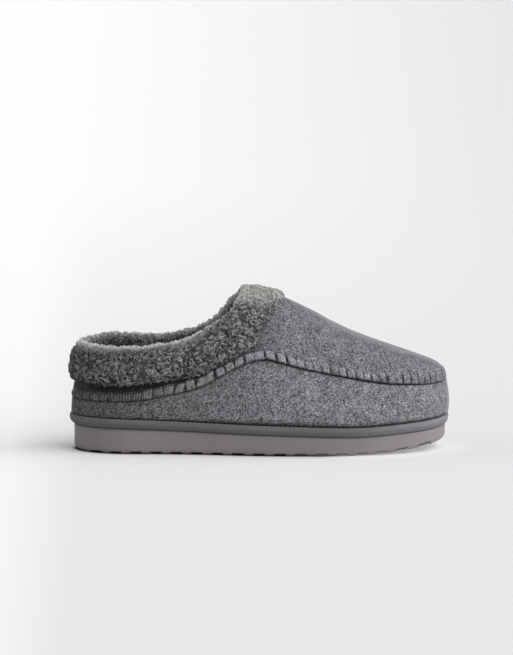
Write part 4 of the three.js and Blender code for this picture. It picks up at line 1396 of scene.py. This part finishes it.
class BuildOutsole(bpy.types.Operator):
    """Makes the foam outsole with its barred tread"""
    bl_idname = "slipper.build_outsole"
    bl_label = "Foam outsole"

    columns = 1000
    side_rows = 8
    edge_rows = 6
    tread_rows = 26
    toe_edge = 1.6

    def execute(self, context):
        colours = context.scene.slipper_colours
        turn = even_turns(self.columns)
        _, share = side_of(turn)
        radius = SOLE_EDGE_RADIUS * lerp(1, self.toe_edge, smoothstep(share, 0.7, 1))
        x, y = beside_sole(turn, 0)
        rings, wear = [], []
        for up in np.linspace(1, 0, self.side_rows):
            edge_z = outsole_bottom(x) + radius
            rings.append(np.stack([x, y, lerp(edge_z, outsole_top(x), up)], -1))
            wear.append(0)
        for angle in np.linspace(0, math.pi / 2, self.edge_rows + 1)[1:]:
            inset = radius * (1 - math.cos(angle))
            edge_x, edge_y = beside_sole(turn, -inset)
            edge_z = outsole_bottom(edge_x) + radius * (1 - math.sin(angle))
            rings.append(np.stack([edge_x, edge_y, edge_z], -1))
            wear.append(math.sin(angle) ** 2)
        outer = rings[-1]
        middle = middle_line(outer)
        for step in np.linspace(0, 1, self.tread_rows)[1:]:
            ring = lerp(outer, middle, step)
            ring[:, 2] = outsole_bottom(ring[:, 0])
            rings.append(ring)
            wear.append(0.6)
        stack = np.array(rings)
        last = self.side_rows - 1
        stack[last:], cut = self.cut_tread(stack[last:], radius)
        groove = np.concatenate([np.zeros((self.side_rows, self.columns)), cut])[::-1]
        stack = np.concatenate([middle_line(rings[0])[None], stack])[::-1]
        wear = np.array([0, *wear])[::-1][:, None] + np.zeros(self.columns)
        material = kept_material("Moulded foam", foam_material, colours)
        faces = ring_faces(len(stack), self.columns)
        values = {"wear": wear, "groove": groove}
        new_piece("foam_outsole", stack, faces, material, ["outsole"], values)
        return {"FINISHED"}

    def cut_tread(self, points, radius):
        """Cuts the grooves across the tread between its bars, and gives where painted shade lies in them,
        reaching onto the rounded edge where the cut does not.
        """
        middle = points[..., 0] - BAR_WAVE * np.sin(2 * math.pi * points[..., 1] / BAR_WAVE_LENGTH)
        first = HEEL_REST_STATION - (math.floor(HEEL_REST_STATION / BAR_PITCH) - 0.5) * BAR_PITCH
        last = first + BAR_PITCH * math.floor((SOLE_LENGTH - BAR_PITCH / 2 - first) / BAR_PITCH)
        place = np.clip(middle, first - BAR_PITCH / 2, last + BAR_PITCH / 2) - first
        off = np.abs(place - BAR_PITCH * np.round(place / BAR_PITCH))
        half_gap = (BAR_PITCH - BAR_LENGTH) / 2
        depth = TREAD_DEPTH * (1 - smoothstep(off, half_gap - 0.35, half_gap + 0.35))
        floor = outsole_bottom(points[..., 0]) + depth
        cut = points.copy()
        cut[..., 2] = np.maximum(points[..., 2], floor)
        # Painted shade between the bars, also low on the rounded edge where no groove is cut
        between = 1 - smoothstep(off, half_gap - 0.5, half_gap + 0.2)
        rise = (points[..., 2] - outsole_bottom(points[..., 0])) / radius
        low = 1 - smoothstep(rise, 0.5, 0.8)
        return cut, between * low


# The stage
class BuildStage(bpy.types.Operator):
    """Makes the pale floor, the studio light and the camera"""
    bl_idname = "slipper.build_stage"
    bl_label = "Stage"

    columns = 120
    # The slipper's own shadow on the floor: how far out from the sole's outline, and how deep it is there
    shadow = ((-5.0, 1.0), (-1.0, 1.0), (0.8, 0.5), (3.5, 0.12), (14.0, 0.0), (30.0, 0.0))
    toe_light = (0.7, 0.7, 0.7, 0.65, 0.3, 0.0, 0.0)
    ball_line = (0.145, 0.185)
    floor_reach = 250
    sensor = 36
    aim = Vector((0.09905, 0.0, 0.0924))
    frame_height = 0.4999

    def execute(self, context):
        settings = context.scene.slipper_stage
        scene = context.scene
        scene.view_settings.view_transform = "Standard"
        scene.view_settings.look = "None"
        self.floor(settings)
        world = bpy.data.worlds.new("Studio")
        world.use_nodes = True
        light = world.node_tree.nodes["Background"].inputs
        light["Color"].default_value = (0.97, 0.98, 1.0, 1.0)
        light["Strength"].default_value = settings.fill
        scene.world = world
        self.light("Key light", settings.key, (1.0, -0.42, 0.42), 100)
        self.light("Top light", settings.top, (0.1, -0.25, 1.0), 60)
        self.light("Rim light", settings.rim, (-1.0, 0.1, 0.3), 50)
        camera_data = bpy.data.cameras.new("Camera")
        camera_data.sensor_fit = "VERTICAL"
        camera_data.sensor_height = self.sensor
        camera_data.lens = self.sensor * settings.camera_distance / self.frame_height
        camera_data.clip_end = 200
        camera = bpy.data.objects.new("Camera", camera_data)
        tilt = settings.camera_tilt
        back = Vector((0, -math.cos(tilt), math.sin(tilt)))
        camera.location = self.aim + back * settings.camera_distance
        camera.rotation_euler = (-back).to_track_quat("-Z", "Y").to_euler()
        scene.collection.objects.link(camera)
        scene.camera = camera
        return {"FINISHED"}

    def light(self, name, strength, way, spread):
        data = bpy.data.lights.new(name, "SUN")
        data.energy = strength
        data.angle = math.radians(spread)
        lamp = bpy.data.objects.new(name, data)
        lamp.rotation_euler = Vector(way).to_track_quat("Z", "Y").to_euler()
        bpy.context.scene.collection.objects.link(lamp)

    def floor(self, settings):
        mesh = bpy.data.meshes.new("floor")
        turn = even_turns(self.columns)
        rings = [np.stack([*beside_sole(turn, out), 0 * turn], -1) for out, _ in self.shadow]
        rings.append(rings[-1] * self.floor_reach)
        points = (np.concatenate(rings) - (HEEL_REST_STATION, 0, 0)) / 1000
        faces = [list(range(self.columns)), *ring_faces(len(rings), self.columns).tolist()]
        mesh.from_pydata(points.tolist(), [], faces)
        grounded = 1 - smoothstep(points[:, 0], *self.ball_line)
        shadows = np.repeat([share for _, share in self.shadow] + [0.0], self.columns)
        under = shadows * grounded - np.repeat(self.toe_light, self.columns) * (1 - grounded)
        mesh.attributes.new("under", "FLOAT", "POINT").data.foreach_set("value", under.astype(np.float32))
        material, tree, shader, place = new_material("Pale floor", 0.9, specular=0.1)
        shader.inputs["Emission Color"].default_value = (1.0, 0.985, 0.99, 1.0)
        shadow = attribute(tree, "under")
        open_floor = math_node(tree, "SUBTRACT", 1.0, shadow)
        plug(tree, shader.inputs["Emission Strength"], multiply(tree, open_floor, settings.glow))
        # Painted light and shade on the floor: paler far behind, lighter beside the heel, darker toward the
        # right, with the painted shadow under the sole and painted light under the toe
        share = map_range(tree, axis_of(tree, place, 1), 0.1, 1.8)
        plain = mix_colour(tree, share, shade(settings.floor), shade(settings.backdrop))
        near = toned(tree, plain, change_along(tree, place, -0.09, -0.035, 1.2, 1.0))
        far = toned(tree, plain, change_along(tree, place, -0.1, 0.35, 1.0, 0.775))
        shown = mix_colour(tree, share, near, far)
        plug(tree, shader.inputs["Base Color"], mix_colour(tree, shadow, shown, shade(settings.floor, 0.1)))
        mesh.materials.append(material)
        floor = bpy.data.objects.new("floor", mesh)
        bpy.context.scene.collection.objects.link(floor)


class SlipperPanel(bpy.types.Panel):
    """Lists the pieces of the slipper and what a user would change"""
    bl_idname = "VIEW3D_PT_slipper"
    bl_label = "Mule slipper"
    bl_space_type = "VIEW_3D"
    bl_region_type = "UI"
    bl_category = "Slipper"

    def draw(self, context):
        layout = self.layout
        for operator in OPERATORS:
            layout.operator(operator.bl_idname)
        scene = context.scene
        for group in (scene.slipper_sizes, scene.slipper_colours, scene.slipper_stage):
            box = layout.box()
            for key in group.__annotations__:
                box.prop(group, key)


OPERATORS = (BuildOutsole, BuildPlatform, BuildInsole, BuildFelt, BuildSeam, BuildCuff, BuildStage)
GROUPS = (SlipperSizes, SlipperColours, SlipperStage)


def register():
    for kind in (*GROUPS, *OPERATORS, SlipperPanel):
        bpy.utils.register_class(kind)
    bpy.types.Scene.slipper_sizes = PointerProperty(type=SlipperSizes)
    bpy.types.Scene.slipper_colours = PointerProperty(type=SlipperColours)
    bpy.types.Scene.slipper_stage = PointerProperty(type=SlipperStage)


def unregister():
    del bpy.types.Scene.slipper_stage
    del bpy.types.Scene.slipper_colours
    del bpy.types.Scene.slipper_sizes
    for kind in reversed((*GROUPS, *OPERATORS, SlipperPanel)):
        bpy.utils.unregister_class(kind)


def main():
    register()
    bpy.ops.slipper.build_outsole()
    bpy.ops.slipper.build_platform()
    bpy.ops.slipper.build_insole()
    bpy.ops.slipper.build_felt()
    bpy.ops.slipper.build_seam()
    bpy.ops.slipper.build_cuff()
    bpy.ops.slipper.build_stage()


if __name__ == "__main__":
    main()
